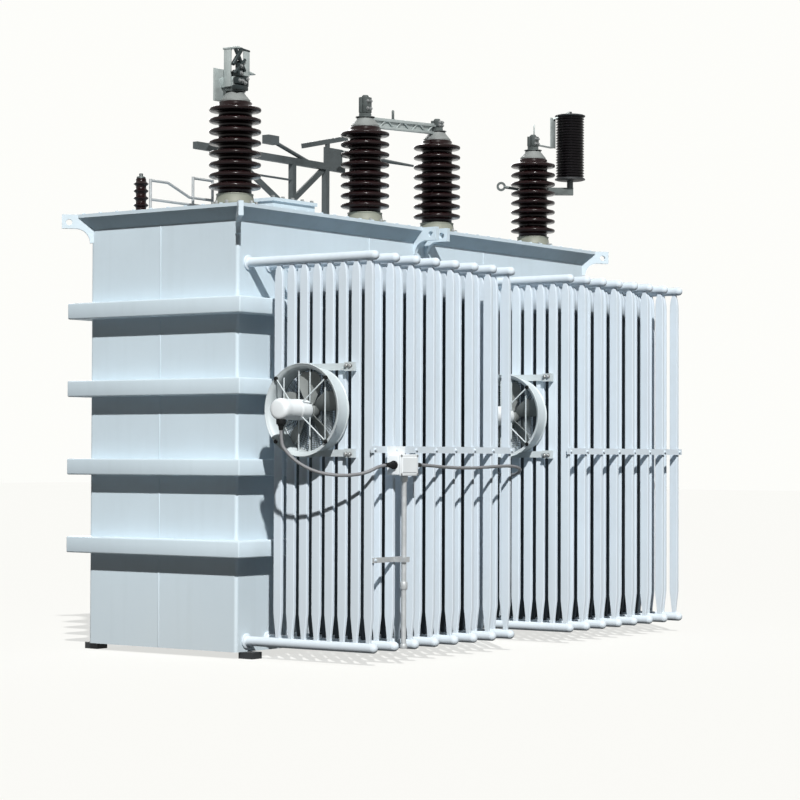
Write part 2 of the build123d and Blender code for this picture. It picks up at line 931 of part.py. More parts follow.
# Bus frame behind the bushings: a beam on three posts with a brace, a strut, a tie and a plate
frame_y = wall_y + frame_line
frame_top = cover_top + frame_height
beam_bottom = frame_top - frame_beam_height
beam_middle = (beam_bottom + frame_top) / 2
rear_post_x = end_x + frame_rear_offset
first_post_x = end_x + frame_first_offset
second_post_x = end_x + frame_second_offset
half = frame_post_size / 2
frame = block(
    end_x + frame_beam_start,
    second_post_x + frame_beam_overhang,
    frame_y - half,
    frame_y + half,
    beam_bottom,
    frame_top,
)
post_feet = ((rear_post_x, cover_top), (first_post_x, hatch_lid_top), (second_post_x, cover_top))
for x, foot in post_feet:
    frame += block(x - half, x + half, frame_y - half, frame_y + half, foot, beam_middle)
brace_start = (first_post_x, frame_y, cover_top + frame_brace_level)
brace_end = (second_post_x, frame_y, beam_middle)
frame += flat_bar(brace_start, brace_end, arm_bar_width, arm_bar_thickness)
strut_start = (rear_post_x, frame_y, cover_top + frame_strut_level)
strut_end = (end_x + frame_strut_end, frame_y, hatch_lid_top)
frame += flat_bar(strut_start, strut_end, arm_bar_width, arm_bar_thickness)
tie_z = cover_top + frame_tie_level
frame += rod((rear_post_x, frame_y, tie_z), (first_post_x, frame_y, tie_z), frame_tie_radius)
plate_start = end_x + frame_plate_start
plate_end = plate_start + frame_plate_length
plate_top = frame_top + frame_plate_height
half_plate = frame_plate_thickness / 2
frame += block(
    plate_start, plate_end, frame_y - half_plate, frame_y + half_plate, beam_middle, plate_top
)
lever_start = (end_x + lever_foot, frame_y, beam_middle)
lever_end = (end_x + lever_head, frame_y, frame_top + lever_rise)
frame += rod(lever_start, lever_end, lever_radius)
frame += Pos(*lever_end) * Box(lever_block_length, lever_block_size, lever_block_size)
slant_low = (end_x + slant_start, frame_y, frame_top + slant_low_rise)
slant_high = (end_x + slant_end, frame_y, frame_top + slant_high_rise)
slant = flat_bar(slant_low, slant_high, slant_height, slant_thickness)
slant_x = second_post_x + half
slant_foot = block(
    slant_x - half,
    slant_x + half,
    frame_y - half_plate,
    frame_y + half_plate,
    beam_middle,
    frame_top + (slant_low_rise + slant_high_rise) / 2,
)
frame += slant_foot + slant
hatch_solid = Pos(hatch_x, hatch_y, hatch_lid_top - hatch_height) * extrude(lid_plan, hatch_height)
nodes["bus_frame"] = frame - hatch_solid

bus_plane = Plane(origin=(plate_end, frame_y, frame_top + bus_rise), z_dir=(1, 0, 0))
bus_length = end_x + bus_end_offset - plate_end
nodes["bus_bar"] = loft(
    [bus_plane * Circle(bus_radius), bus_plane.offset(bus_length) * Circle(bus_tip_radius)]
)

os.makedirs("parts", exist_ok=True)
for name, shape in nodes.items():
    export_step(shape, f"parts/{name}.step")
print(len(nodes), "nodes")
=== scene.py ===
import json
from math import cos, pi, radians, sin

import bmesh
import bpy
from mathutils import Matrix, Vector


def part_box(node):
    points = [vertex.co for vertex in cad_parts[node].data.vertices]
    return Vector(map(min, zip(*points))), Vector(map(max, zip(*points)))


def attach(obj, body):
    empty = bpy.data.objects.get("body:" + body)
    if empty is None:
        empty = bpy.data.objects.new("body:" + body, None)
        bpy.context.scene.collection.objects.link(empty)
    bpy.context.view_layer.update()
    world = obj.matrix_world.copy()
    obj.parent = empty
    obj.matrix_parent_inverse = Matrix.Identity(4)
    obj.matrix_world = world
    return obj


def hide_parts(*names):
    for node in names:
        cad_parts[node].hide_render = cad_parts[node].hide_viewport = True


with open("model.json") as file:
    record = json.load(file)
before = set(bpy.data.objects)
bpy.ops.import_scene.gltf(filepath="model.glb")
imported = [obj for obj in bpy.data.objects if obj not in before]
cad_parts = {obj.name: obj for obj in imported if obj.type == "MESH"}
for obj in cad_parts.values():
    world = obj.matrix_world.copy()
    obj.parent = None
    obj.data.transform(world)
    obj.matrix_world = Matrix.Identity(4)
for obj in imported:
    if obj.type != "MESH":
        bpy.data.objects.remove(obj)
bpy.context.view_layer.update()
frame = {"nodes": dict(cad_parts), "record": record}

bl_info = {
    "name": "Power transformer",
    "version": (1, 0, 0),
    "blender": (4, 5, 0),
    "location": "3D View > Sidebar > Transformer",
    "description": "Models the looks of an oil filled power transformer over its CAD pieces",
    "category": "Object",
}


# Sizes and colours

def length(label, note, value):
    return bpy.props.FloatProperty(name=label, description=note, default=value, unit="LENGTH", precision=4)


def lengths(label, note, *values):
    return bpy.props.FloatVectorProperty(name=label, description=note, default=values, size=len(values),
                                         unit="LENGTH", precision=4)


def angle(label, note, degrees):
    return bpy.props.FloatProperty(name=label, description=note, default=radians(degrees), subtype="ANGLE")


def colour(label, note, value):
    return bpy.props.FloatVectorProperty(name=label, description=note, default=value, size=3, min=0.0, max=1.0,
                                         subtype="COLOR")


def count(label, note, value):
    return bpy.props.IntProperty(name=label, description=note, default=value, min=1)


class TransformerSizes(bpy.types.PropertyGroup):
    cable_diameter: length("Cable diameter", "Outside of the fan cables", 0.022)
    header_radius: length("Header radius", "Outside of the header pipes", 0.032)
    fin_thickness: length("Fin thickness", "Thickness of a fin", 0.027)
    fin_depth: length("Fin depth", "Depth of a fin along its row", 0.067)
    fin_pitch: length("Fin pitch", "Distance between fins of a row", 0.107)
    fin_corner: length("Fin corner", "Rounding of a fin's upright edges", 0.005)
    fin_seat: length("Fin seat", "How far a fin's ends run into the headers", 0.006)
    fins_per_row: count("Fins per row", "Fins hung on one pair of headers", 8)
    # The outer fins of an inner row keep the plain radiator paint; the fins behind them get the painted shade.
    clean_fins: count("Clean fins", "Outer fins of an inner row that keep their clean paint", 2)
    belt_height: length("Belt height", "Height of a box section belt", 0.112)
    belt_depth: length("Belt depth", "How far a belt stands off the wall", 0.115)
    belt_edge: length("Belt edge", "Rounding of a belt's outer edges", 0.010)
    belt_count: count("Belts", "Belts round the tank", 4)
    seam_width: length("Seam width", "Width of a weld seam", 0.010)
    seam_height: length("Seam height", "How far a weld seam stands off the wall", 0.003)
    end_seam: length("End wall seam", "Place of the seam across the end walls", 0.022)
    long_seams: lengths("Long wall seams", "Places of the seams along the long walls", -0.735, 0.735)
    cover_bolt_pitch: length("Cover bolt pitch", "Distance between cover bolts", 0.150)
    cover_bolt_inset: length("Cover bolt inset", "Distance of the bolts from the cover's edge", 0.042)
    hatch_bolt_inset: length("Hatch bolt inset", "Distance of the bolts from the lid's edge", 0.030)
    bushing_line: length("Bushing line", "Place of the bushings across the cover", -0.370)
    bushing_places: lengths("Bushing places", "Places of the bushings along the cover",
                            -1.88395, -0.38984, 0.53582, 1.90292)
    stud_heights: lengths("Stud heights", "Heights of the four bushing studs", 0.150, 0.165, 0.098, 0.130)
    core_radius: length("Core radius", "Porcelain between the sheds", 0.116)
    shed_radius: length("Shed radius", "Porcelain across the sheds", 0.180)
    shed_first: length("First shed", "Height of the lowest shed on its porcelain", 0.052)
    shed_pitch: length("Shed pitch", "Distance between sheds", 0.076)
    shed_count: count("Sheds", "Sheds up a porcelain", 8)
    flange_nuts: count("Flange nuts", "Nuts round a bushing's flange", 10)
    flange_circle: length("Flange circle", "Radius of the flange nuts' circle", 0.1475)
    arrester_radius: length("Arrester radius", "Outside of the arrester's ribs", 0.117)
    arrester_ribs: count("Arrester ribs", "Fine ribs up the arrester", 22)
    fan_throat: length("Fan throat", "Inside radius of the fan ring", 0.272)
    fan_wall: length("Fan wall", "Sheet thickness of the fan ring", 0.005)
    guard_arm: length("Guard arm", "Radius of the arms that carry a motor", 0.005)
    guard_bar: length("Guard bar", "Width of the upright bars of a guard", 0.009)
    guard_grip: length("Guard grip", "Radius at which the guard meets the motor", 0.066)
    screen_wire: length("Screen wire", "Thickness of the wires of a fan screen", 0.0052)
    blade_root: length("Blade root", "Radius at which the blades start", 0.052)
    blade_tip: length("Blade tip", "Radius that the blades reach", 0.250)
    blade_width: length("Blade width", "Width of a blade where its share is one", 0.100)
    blade_thickness: length("Blade thickness", "Sheet thickness of the blades", 0.005)
    blade_count: count("Blades", "Blades of one fan", 5)
    root_pitch: angle("Root pitch", "Turn of a blade at its root", 48.0)
    tip_pitch: angle("Tip pitch", "Turn of a blade at its tip", 28.0)
    link_rise: angle("Link rise", "Upward slope of the link toward the third bushing", 3.1)
    link_bays: count("Link bays", "Braces along the link", 8)
    box_length: length("Box length", "Length of the junction box", 0.190)
    box_line: length("Box line", "Place of the box's glands and conduit off the bank", -1.798)
    camera_place: lengths("Camera place", "Where the camera stands", -14.3925, -10.8506, 1.340)
    camera_heading: angle("Camera heading", "Turn of the view from +X toward +Y", 35.9457)
    camera_tilt: angle("Camera tilt", "Upward tilt of the view", 1.4218)
    camera_roll: angle("Camera roll", "Turn of the view about its own line", 0.2024)
    camera_lens: bpy.props.FloatProperty(name="Camera lens", description="Focal length in millimetres",
                                         default=106.703, unit="CAMERA")


class TransformerColours(bpy.types.PropertyGroup):
    tank: colour("Tank", "Pale blue grey paint of the tank", (0.540, 0.638, 0.705))
    # Painted shade: the rim's slate tone, darker than the tank paint, stands for the shade on the rim's downward-facing
    # flare.
    rim: colour("Rim", "Slate paint of the flared rim", (0.340, 0.430, 0.490))
    radiator: colour("Radiator", "Pale paint of the fins and headers", (0.612, 0.695, 0.768))
    # Painted shade: the fins deep inside a bank are painted nearly black for the shade between the fins, not for grime.
    shaded: colour("Shaded fins", "Grimy paint deep inside the banks", (0.045, 0.056, 0.066))
    # Painted light: near their tops the inner fins fade to this paler tone for the light that falls in over the rows,
    # not for cleaner paint.
    fin_top_painted_light: colour("Shaded fin tops", "Cleaner paint near the inner fins' tops", (0.500, 0.570, 0.630))
    dark_steel: colour("Dark steel", "Skids, flanges and arrester ends", (0.030, 0.033, 0.036))
    fan: colour("Fan", "Grey paint of the fan ring, guard and brackets", (0.520, 0.580, 0.605))
    rotor: colour("Rotor", "Cast grey of the fan blades", (0.165, 0.182, 0.182))
    motor: colour("Motor", "White paint of the motors and the junction box", (0.750, 0.800, 0.830))
    galvanised: colour("Galvanised steel", "Conduit and rail", (0.420, 0.445, 0.460))
    sheath: colour("Cable sheath", "Grey sheath of the cables", (0.195, 0.202, 0.215))
    porcelain: colour("Porcelain", "Brown glaze of the bushings", (0.0095, 0.0030, 0.0034))
    arrester: colour("Arrester", "Dark glaze of the surge arrester", (0.0065, 0.0055, 0.0065))
    base_ring: colour("Base ring", "Cream grey of the cast rings under the porcelains", (0.215, 0.228, 0.190))
    terminal: colour("Terminal", "Weathered aluminium of links and terminals", (0.400, 0.450, 0.450))
    frame: colour("Frame", "Weathered steel of the bus frame and the fan screens", (0.090, 0.105, 0.110))
    cap: colour("Cap", "Pale weathered metal of the bushing caps", (0.220, 0.238, 0.236))
    clamp: colour("Clamp", "Dark metal of the stud clamps and the arrester bracket", (0.085, 0.100, 0.100))
    # This dark tone also paints the sheet of painted shade behind the line terminal's front plate.
    clamp_dark: colour("Dark clamp", "Nearly black jaws of the line terminal", (0.018, 0.028, 0.030))
    gland: colour("Gland", "Black plastic of glands and knobs", (0.008, 0.009, 0.010))
    bolt: colour("Bolt", "Zinc of nuts and bolts", (0.300, 0.315, 0.320))
    stain: colour("Stain", "Tint of the run marks on paint", (0.62, 0.64, 0.62))
    dust: colour("Dust", "Dust low down on paint", (0.42, 0.40, 0.36))
    floor: colour("Floor", "Glow of the pale floor", (0.960, 0.960, 0.930))
    floor_shade: colour("Floor shade", "Floor tone that takes the shadow", (0.24, 0.24, 0.235))
    floor_bounce: colour("Floor bounce", "Floor tone that lights the object from below", (0.075, 0.075, 0.075))
    backdrop: colour("Backdrop", "Plain backdrop behind the object", (0.985, 0.985, 0.955))
    sky: colour("Sky", "Faint light from all round", (0.90, 0.95, 1.0))
    key: colour("Key lamp", "Light of the key lamp", (1.0, 0.985, 0.96))


def sizes():
    return bpy.context.scene.transformer_sizes


def tones():
    return bpy.context.scene.transformer_colours


# Materials

def fill_sockets(tree, made, sockets):
    """Sets a shader node's sockets, or wires them where the value is another node's output."""
    for key, value in sockets.items():
        if isinstance(value, bpy.types.NodeSocket):
            tree.links.new(value, made.inputs[key])
        else:
            made.inputs[key].default_value = value


def node(tree, kind, place, sockets=None, **options):
    """Adds a shader node with its sockets and options."""
    made = tree.nodes.new(kind)
    made.location = place
    for key, value in options.items():
        setattr(made, key, value)
    fill_sockets(tree, made, sockets or {})
    return made


def mixed(tree, place, share, under, over, blend="MIX"):
    """A tint laid over another by a share."""
    return node(tree, "ShaderNodeMixRGB", place, {"Fac": share, "Color1": under, "Color2": (*over, 1.0)},
                blend_type=blend).outputs["Color"]


def mapped(tree, place, value, start, end, low=0.0, high=1.0):
    """A value brought from one range to another."""
    return node(tree, "ShaderNodeMapRange", place, {"Value": value, "From Min": start, "From Max": end,
                                                    "To Min": low, "To Max": high}).outputs["Result"]


def noise(tree, place, vector, scale, detail, **sockets):
    """Soft noise over the surface."""
    return node(tree, "ShaderNodeTexNoise", place, {"Vector": vector, "Scale": scale, "Detail": detail,
                                                    **sockets}).outputs["Fac"]


def height(tree, place, vector):
    """How high a point of the surface lies."""
    return node(tree, "ShaderNodeSeparateXYZ", place, {"Vector": vector}).outputs["Z"]


def coating(name, tone, rough, metal=0.0, patch=0.10, streak=0.0, dust=0.0, grain=0.02, grain_scale=180.0, gloss=0.35,
            patch_scale=1.3, fade=None):
    """A coated surface: patchy tone, run marks, dust low down, a paler tone of painted light that fades in between two
    levels, fine grain.
    """
    made = bpy.data.materials.new(name)
    made.use_nodes = True
    tree = made.node_tree
    spot = node(tree, "ShaderNodeTexCoord", (-1500, 0)).outputs["Object"]
    patches = noise(tree, (-1200, 300), spot, patch_scale, 6.0, Roughness=0.62)
    ramp = node(tree, "ShaderNodeValToRGB", (-950, 300), {"Fac": patches})
    for stop, place, share in zip(ramp.color_ramp.elements, (0.30, 0.72), (1.0 - patch, 1.0 + 0.6 * patch)):
        stop.position = place
        stop.color = (*[min(1.0, part * share) for part in tone], 1.0)
    tint = ramp.outputs["Color"]
    if streak:
        stretch = node(tree, "ShaderNodeMapping", (-1250, -20), {"Vector": spot, "Scale": (9.0, 9.0, 0.55)})
        runs = noise(tree, (-1050, -20), stretch.outputs["Vector"], 1.6, 4.0)
        marks = mapped(tree, (-850, -20), runs, 0.52, 0.74, high=streak)
        tint = mixed(tree, (-650, 200), marks, tint, tones().stain, "MULTIPLY")
    if dust:
        low_down = mapped(tree, (-1050, -300), height(tree, (-1250, -300), spot), 0.75, 0.02, high=dust)
        uneven = node(tree, "ShaderNodeMath", (-850, -300), {0: low_down, 1: patches}, operation="MULTIPLY")
        tint = mixed(tree, (-450, 200), uneven.outputs["Value"], tint, tones().dust)
    if fade:
        # Painted light: above the end level the surface takes the paler tone, below the start level it keeps its own
        # tone.
        start, end, lit_tone = fade
        rise = mapped(tree, (-650, 600), height(tree, (-850, 600), spot), start, end)
        tint = mixed(tree, (-250, 300), rise, tint, lit_tone)
    fine = noise(tree, (-1050, -550), spot, grain_scale, 3.0)
    bump = node(tree, "ShaderNodeBump", (-350, -500), {"Strength": grain, "Distance": 0.002, "Height": fine})
    fill_sockets(tree, tree.nodes["Principled BSDF"], {
        "Base Color": tint, "Metallic": metal, "Specular IOR Level": gloss, "Normal": bump.outputs["Normal"],
        "Roughness": mapped(tree, (-650, -300), patches, 0.3, 0.7, *rough)})
    return made


# Each finish: its colour, its least and greatest roughness, and what else it shows
finishes = {
    "tank_paint": ("tank", (0.42, 0.58), dict(patch=0.05, streak=0.07, dust=0.35)),
    # The rim's darker tone is painted shade.
    "rim_paint": ("rim", (0.45, 0.60), dict(streak=0.2)),
    "radiator_paint": ("radiator", (0.66, 0.82), dict(patch=0.05, streak=0.12, dust=0.3, gloss=0.15)),
    # Shaded paint: painted shade for the fins deep inside the banks, with painted light near their tops.
    "shaded_paint": ("shaded", (0.60, 0.80), dict(patch=0.20, streak=0.3, gloss=0.15)),
    "dark_steel": ("dark_steel", (0.45, 0.70), dict(metal=0.3, patch=0.25, grain=0.15)),
    "fan_paint": ("fan", (0.35, 0.55), dict(patch=0.08, streak=0.2)),
    "rotor_grey": ("rotor", (0.40, 0.60), dict(metal=0.2, patch=0.12, patch_scale=4.0)),
    "motor_paint": ("motor", (0.28, 0.45), dict(patch=0.04, patch_scale=4.0)),
    "galvanised_steel": ("galvanised", (0.35, 0.60), dict(metal=0.3, patch=0.14, patch_scale=24.0)),
    "cable_sheath": ("sheath", (0.45, 0.65), dict(patch=0.12, patch_scale=8.0)),
    "brown_porcelain": ("porcelain", (0.16, 0.26), dict(patch=0.30, patch_scale=6.0, grain=0.004, grain_scale=60.0,
                                                        gloss=0.18)),
    "dark_porcelain": ("arrester", (0.16, 0.26), dict(patch=0.25, patch_scale=6.0, grain=0.004, grain_scale=60.0,
                                                      gloss=0.12)),
    "ring_paint": ("base_ring", (0.45, 0.62), dict(patch=0.14, patch_scale=7.0, streak=0.4, grain=0.08)),
    "terminal_metal": ("terminal", (0.38, 0.58), dict(metal=0.45, patch=0.16, patch_scale=9.0, grain=0.05)),
    "frame_steel": ("frame", (0.42, 0.65), dict(metal=0.4, patch=0.2, patch_scale=6.0, grain=0.06)),
    "cap_metal": ("cap", (0.42, 0.60), dict(metal=0.25, patch=0.12, patch_scale=11.0, streak=0.4, grain=0.05)),
    "clamp_metal": ("clamp", (0.38, 0.60), dict(metal=0.45, patch=0.3, patch_scale=16.0, grain=0.08)),
    "clamp_dark": ("clamp_dark", (0.35, 0.60), dict(metal=0.4, patch=0.3, patch_scale=20.0, grain=0.08)),
    "gland_black": ("gland", (0.50, 0.70), dict(patch=0.2, patch_scale=12.0, gloss=0.12)),
    "bolt_zinc": ("bolt", (0.30, 0.50), dict(metal=0.6, patch=0.15, patch_scale=18.0)),
}
materials = {}


def make_materials():
    tone = tones()
    top = high("bank_1_headers").z
    # The inner fins' painted shade turns to painted light near their tops.
    painted_light_fades = {"shaded_paint": (top - 0.27, top - 0.15, tone.fin_top_painted_light)}
    for name, (tint, rough, shown) in finishes.items():
        materials[name] = coating(name, getattr(tone, tint), rough, fade=painted_light_fades.get(name), **shown)


def paint(piece, name):
    piece.data.materials.clear()
    piece.data.materials.append(materials[name])


# Places, outlines and spacing

axes = {"X": Vector((1, 0, 0)), "Y": Vector((0, 1, 0)), "Z": Vector((0, 0, 1))}
sides = {"X": axes["Z"], "Y": axes["Z"], "Z": axes["X"]}


def low(name):
    return Vector(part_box(name)[0])


def high(name):
    return Vector(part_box(name)[1])


def middle(name):
    return (low(name) + high(name)) / 2


def mm(*values):
    made = [value / 1000.0 for value in values]
    return made[0] if len(made) == 1 else made


def off(origin, offset):
    """The point that lies so many millimetres off another."""
    return origin + Vector(mm(*offset))


def outline(base, *points, out=0.0):
    """Pairs of radius and place along an axis, given in millimetres out from a radius and on from a base."""
    return [(out + mm(radius), base + mm(along)) for radius, along in points]


def evenly(start, end, gaps):
    """Evenly spaced values, both ends among them."""
    return [start + (end - start) * index / gaps for index in range(gaps + 1)]


def fin_rows():
    rows = sorted(name for name in frame["nodes"] if "_fin_row_" in name)
    if not rows:
        raise RuntimeError("the CAD model has no fin rows")
    return rows


def fan_hub(fan):
    """The middle of a fan's mouth."""
    ring = f"fan_{fan}_ring"
    return Vector((low(ring).x, *middle(ring).yz))


# Modelling helpers

def open_mesh():
    bpy.ops.object.mode_set(mode="EDIT")


def close_mesh():
    bpy.ops.object.mode_set(mode="OBJECT")


def whole():
    bpy.ops.mesh.select_all(action="SELECT")


def settle():
    """Puts the selected piece's place, turn and size into its mesh."""
    bpy.ops.object.transform_apply(location=True, rotation=True, scale=True)


def face_outwards():
    whole()
    bpy.ops.mesh.remove_doubles(threshold=0.00002)
    bpy.ops.mesh.normals_make_consistent(inside=False)


def rest():
    """Leaves edit mode and clears the selection."""
    if bpy.context.object and bpy.context.object.mode != "OBJECT":
        close_mesh()
    bpy.ops.object.select_all(action="DESELECT")


def only(*pieces):
    """Selects these pieces, the first of them active."""
    rest()
    for piece in pieces:
        piece.select_set(True)
    bpy.context.view_layer.objects.active = pieces[0]


def named(name):
    """Names the piece that was just added and puts its place into its mesh."""
    piece = bpy.context.object
    piece.name = piece.data.name = name
    settle()
    return piece


def choose(piece, kind, test):
    """Selects the faces, edges or points of a piece in edit mode that pass a test."""
    bpy.ops.mesh.select_mode(type=kind)
    bpy.ops.mesh.select_all(action="DESELECT")
    shape = bmesh.from_edit_mesh(piece.data)
    for part in {"FACE": shape.faces, "EDGE": shape.edges, "VERT": shape.verts}[kind]:
        if test(part):
            part.select_set(True)
    bmesh.update_edit_mesh(piece.data)


def block(name, start, end, soft=0.0, steps=2):
    """A box between two corners with softened edges."""
    rest()
    bpy.ops.mesh.primitive_cube_add(size=1.0, location=[(a + b) / 2 for a, b in zip(start, end)])
    bpy.context.object.scale = [b - a for a, b in zip(start, end)]
    piece = named(name)
    if soft:
        open_mesh()
        whole()
        bpy.ops.mesh.bevel(offset=soft, segments=steps, affect="EDGES")
        close_mesh()
    return piece


def turned(name, points, centre=(0, 0, 0), axis="Z", steps=40):
    """A turned piece: an outline of (radius, place along the axis) drawn point by point, then spun."""
    centre = Vector(centre)
    points = [centre + sides[axis] * radius + axes[axis] * along for radius, along in points]
    rest()
    bpy.ops.mesh.primitive_plane_add(size=0.01, location=points[0])
    piece = named(name)
    open_mesh()
    bpy.ops.mesh.select_mode(type="VERT")
    whole()
    bpy.ops.mesh.merge(type="CENTER")
    for before, after in zip(points, points[1:]):
        bpy.ops.mesh.extrude_region_move(TRANSFORM_OT_translate={"value": after - before})
    whole()
    bpy.ops.mesh.spin(steps=steps, angle=2 * pi, center=centre, axis=axes[axis])
    face_outwards()
    close_mesh()
    return piece


def bar(name, start, end, radius):
    """A round bar between two points with softened ends."""
    run = Vector(end) - Vector(start)
    rest()
    bpy.ops.mesh.primitive_cylinder_add(vertices=10, radius=radius, depth=run.length,
                                        location=(Vector(start) + Vector(end)) / 2,
                                        rotation=run.to_track_quat("Z", "Y").to_euler())
    piece = named(name)
    open_mesh()
    choose(piece, "FACE", lambda face: len(face.verts) > 4)
    bpy.ops.mesh.bevel(offset=radius * 0.3, segments=2, affect="EDGES")
    close_mesh()
    return piece


def bolt(name, radius, tall, axis="Z"):
    """A six sided head with a chamfered top on a round washer, standing up from the origin or out along -X or -Y."""
    turn = {"-X": (0, -pi / 2, 0), "-Y": (pi / 2, 0, 0), "Z": (0, 0, 0)}[axis]
    rest()
    bpy.ops.mesh.primitive_cylinder_add(vertices=12, radius=radius * 1.45, depth=tall * 0.2,
                                        location=(0, 0, tall * 0.1))
    washer = named(name + "_washer")
    rest()
    bpy.ops.mesh.primitive_cylinder_add(vertices=6, radius=radius, depth=tall * 0.8, location=(0, 0, tall * 0.6))
    head = named(name)
    open_mesh()
    choose(head, "FACE", lambda face: face.normal.z > 0.9)
    bpy.ops.mesh.inset(thickness=radius * 0.16)
    bpy.ops.transform.translate(value=(0, 0, tall * 0.1))
    close_mesh()
    only(head, washer)
    bpy.ops.object.join()
    head.rotation_euler = turn
    settle()
    return head


def joined(name, *pieces):
    """Several pieces joined as one."""
    only(*pieces)
    if len(pieces) > 1:
        bpy.ops.object.join()
    piece = bpy.context.object
    piece.name = piece.data.name = name
    return piece


def spread(piece, name, places):
    """Copies of a piece at these places, each with its own mesh, joined as one; the pattern goes."""
    made = []
    for place in places:
        only(piece)
        bpy.ops.object.duplicate(linked=False)
        copy = bpy.context.object
        copy.location = place
        settle()
        made.append(copy)
    only(piece)
    bpy.ops.object.delete()
    return joined(name, *made)


def dress(piece, coat, instead=(), body="transformer", crease=35.0):
    """Finishes a piece: smooth shading, its coat, the body that it rides on and the CAD nodes that it stands for."""
    only(piece)
    bpy.ops.object.shade_smooth_by_angle(angle=radians(crease))
    paint(piece, coat)
    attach(piece, body)
    if instead:
        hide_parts(*instead)
    return piece


def zinc_bolts(name, places, radius, tall, axis="Z"):
    """Zinc bolts of one size at these places."""
    dress(spread(bolt("head", radius, tall, axis), name, places), "bolt_zinc")


# Pieces

class TRANSFORMER_OT_coats(bpy.types.Operator):
    """Gives every CAD piece its coat"""
    bl_idname = "transformer.coats"
    bl_label = "Coats of the CAD pieces"

    def execute(self, context):
        make_materials()
        rest()
        for part in frame["record"]["subparts"]:
            name = part["node"]
            paint(bpy.data.objects[name], "clamp_metal" if name == "arrester_bracket" else part["material_slot"])
        return {"FINISHED"}


cable_routes = {
    "fan_1_cable": [(-2484.0, -1270.0, 1549), (-2484.0, -1270.0, 1440), (-2470.1, -1296.4, 1390),
                    (-2432.8, -1359.8, 1315), (-2367.8, -1465.4, 1252), (-2288.7, -1602.6, 1228),
                    (-2214.3, -1750.5, 1244), (-2116.7, -1798.0, 1300), (-2019.0, -1798.0, 1300)],
    "fan_2_cable": [(-1725.0, -1798.0, 1300), (-1619.0, -1798.0, 1300), (-1398.8, -1803.3, 1284),
                    (-1088.9, -1808.6, 1278), (-795.3, -1808.6, 1290), (-583.3, -1803.3, 1295),
                    (-444.7, -1787.4, 1275), (-371.3, -1713.5, 1240), (-306.0, -1597.4, 1222),
                    (-224.5, -1454.8, 1228), (-142.9, -1333.4, 1290), (-94.0, -1270.0, 1420),
                    (-94.0, -1270.0, 1549)],
}


class TRANSFORMER_OT_cables(bpy.types.Operator):
    """Lays the two fan cables from the motors to the junction box"""
    bl_idname = "transformer.cables"
    bl_label = "Fan cables"

    def execute(self, context):
        thick = sizes().cable_diameter
        for name, route in cable_routes.items():
            rest()
            curve = bpy.data.curves.new(name + "_line", "CURVE")
            curve.dimensions = "3D"
            spline = curve.splines.new("NURBS")
            spline.points.add(len(route) - 1)
            for point, at in zip(spline.points, route):
                point.co = (*mm(*at), 1.0)
            spline.order_u = 3
            spline.use_endpoint_u = True
            spline.resolution_u = 10
            curve.bevel_depth = thick / 2
            curve.bevel_resolution = 4
            piece = bpy.data.objects.new(name + "_sheath", curve)
            context.scene.collection.objects.link(piece)
            paint(piece, "cable_sheath")
            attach(piece, "transformer")
            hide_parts(name)
        return {"FINISHED"}


# A fin's section up its foot and down to its top: distance from the end, share of the thickness, share of the depth
fin_foot = ((0.0, 0.86, 0.46), (0.030, 0.90, 0.48), (0.175, 1.0, 1.0))
fin_top = ((0.120, 1.0, 1.0), (0.085, 1.0, 0.96), (0.055, 0.98, 0.85), (0.030, 0.95, 0.66), (0.014, 0.90, 0.50),
           (0.0, 0.88, 0.46))


def fin_run(fin, row, name, first, number, coat, instead=()):
    """A run of fins of one row, from the given fin on, hung at the place of the row's CAD node."""
    size = sizes()
    only(fin)
    bpy.ops.object.duplicate(linked=False)
    made = bpy.context.object
    made.name = made.data.name = name
    run = made.modifiers.new("run", "ARRAY")
    run.count = number
    run.use_relative_offset = False
    run.use_constant_offset = True
    run.constant_offset_displace = (0, -size.fin_pitch, 0)
    bpy.ops.object.modifier_apply(modifier="run")
    nearest = middle(row).y + (size.fins_per_row - 1) * size.fin_pitch / 2
    made.location = (middle(row).x, nearest - first * size.fin_pitch, 0)
    settle()
    dress(made, coat, instead=instead, crease=10.0)


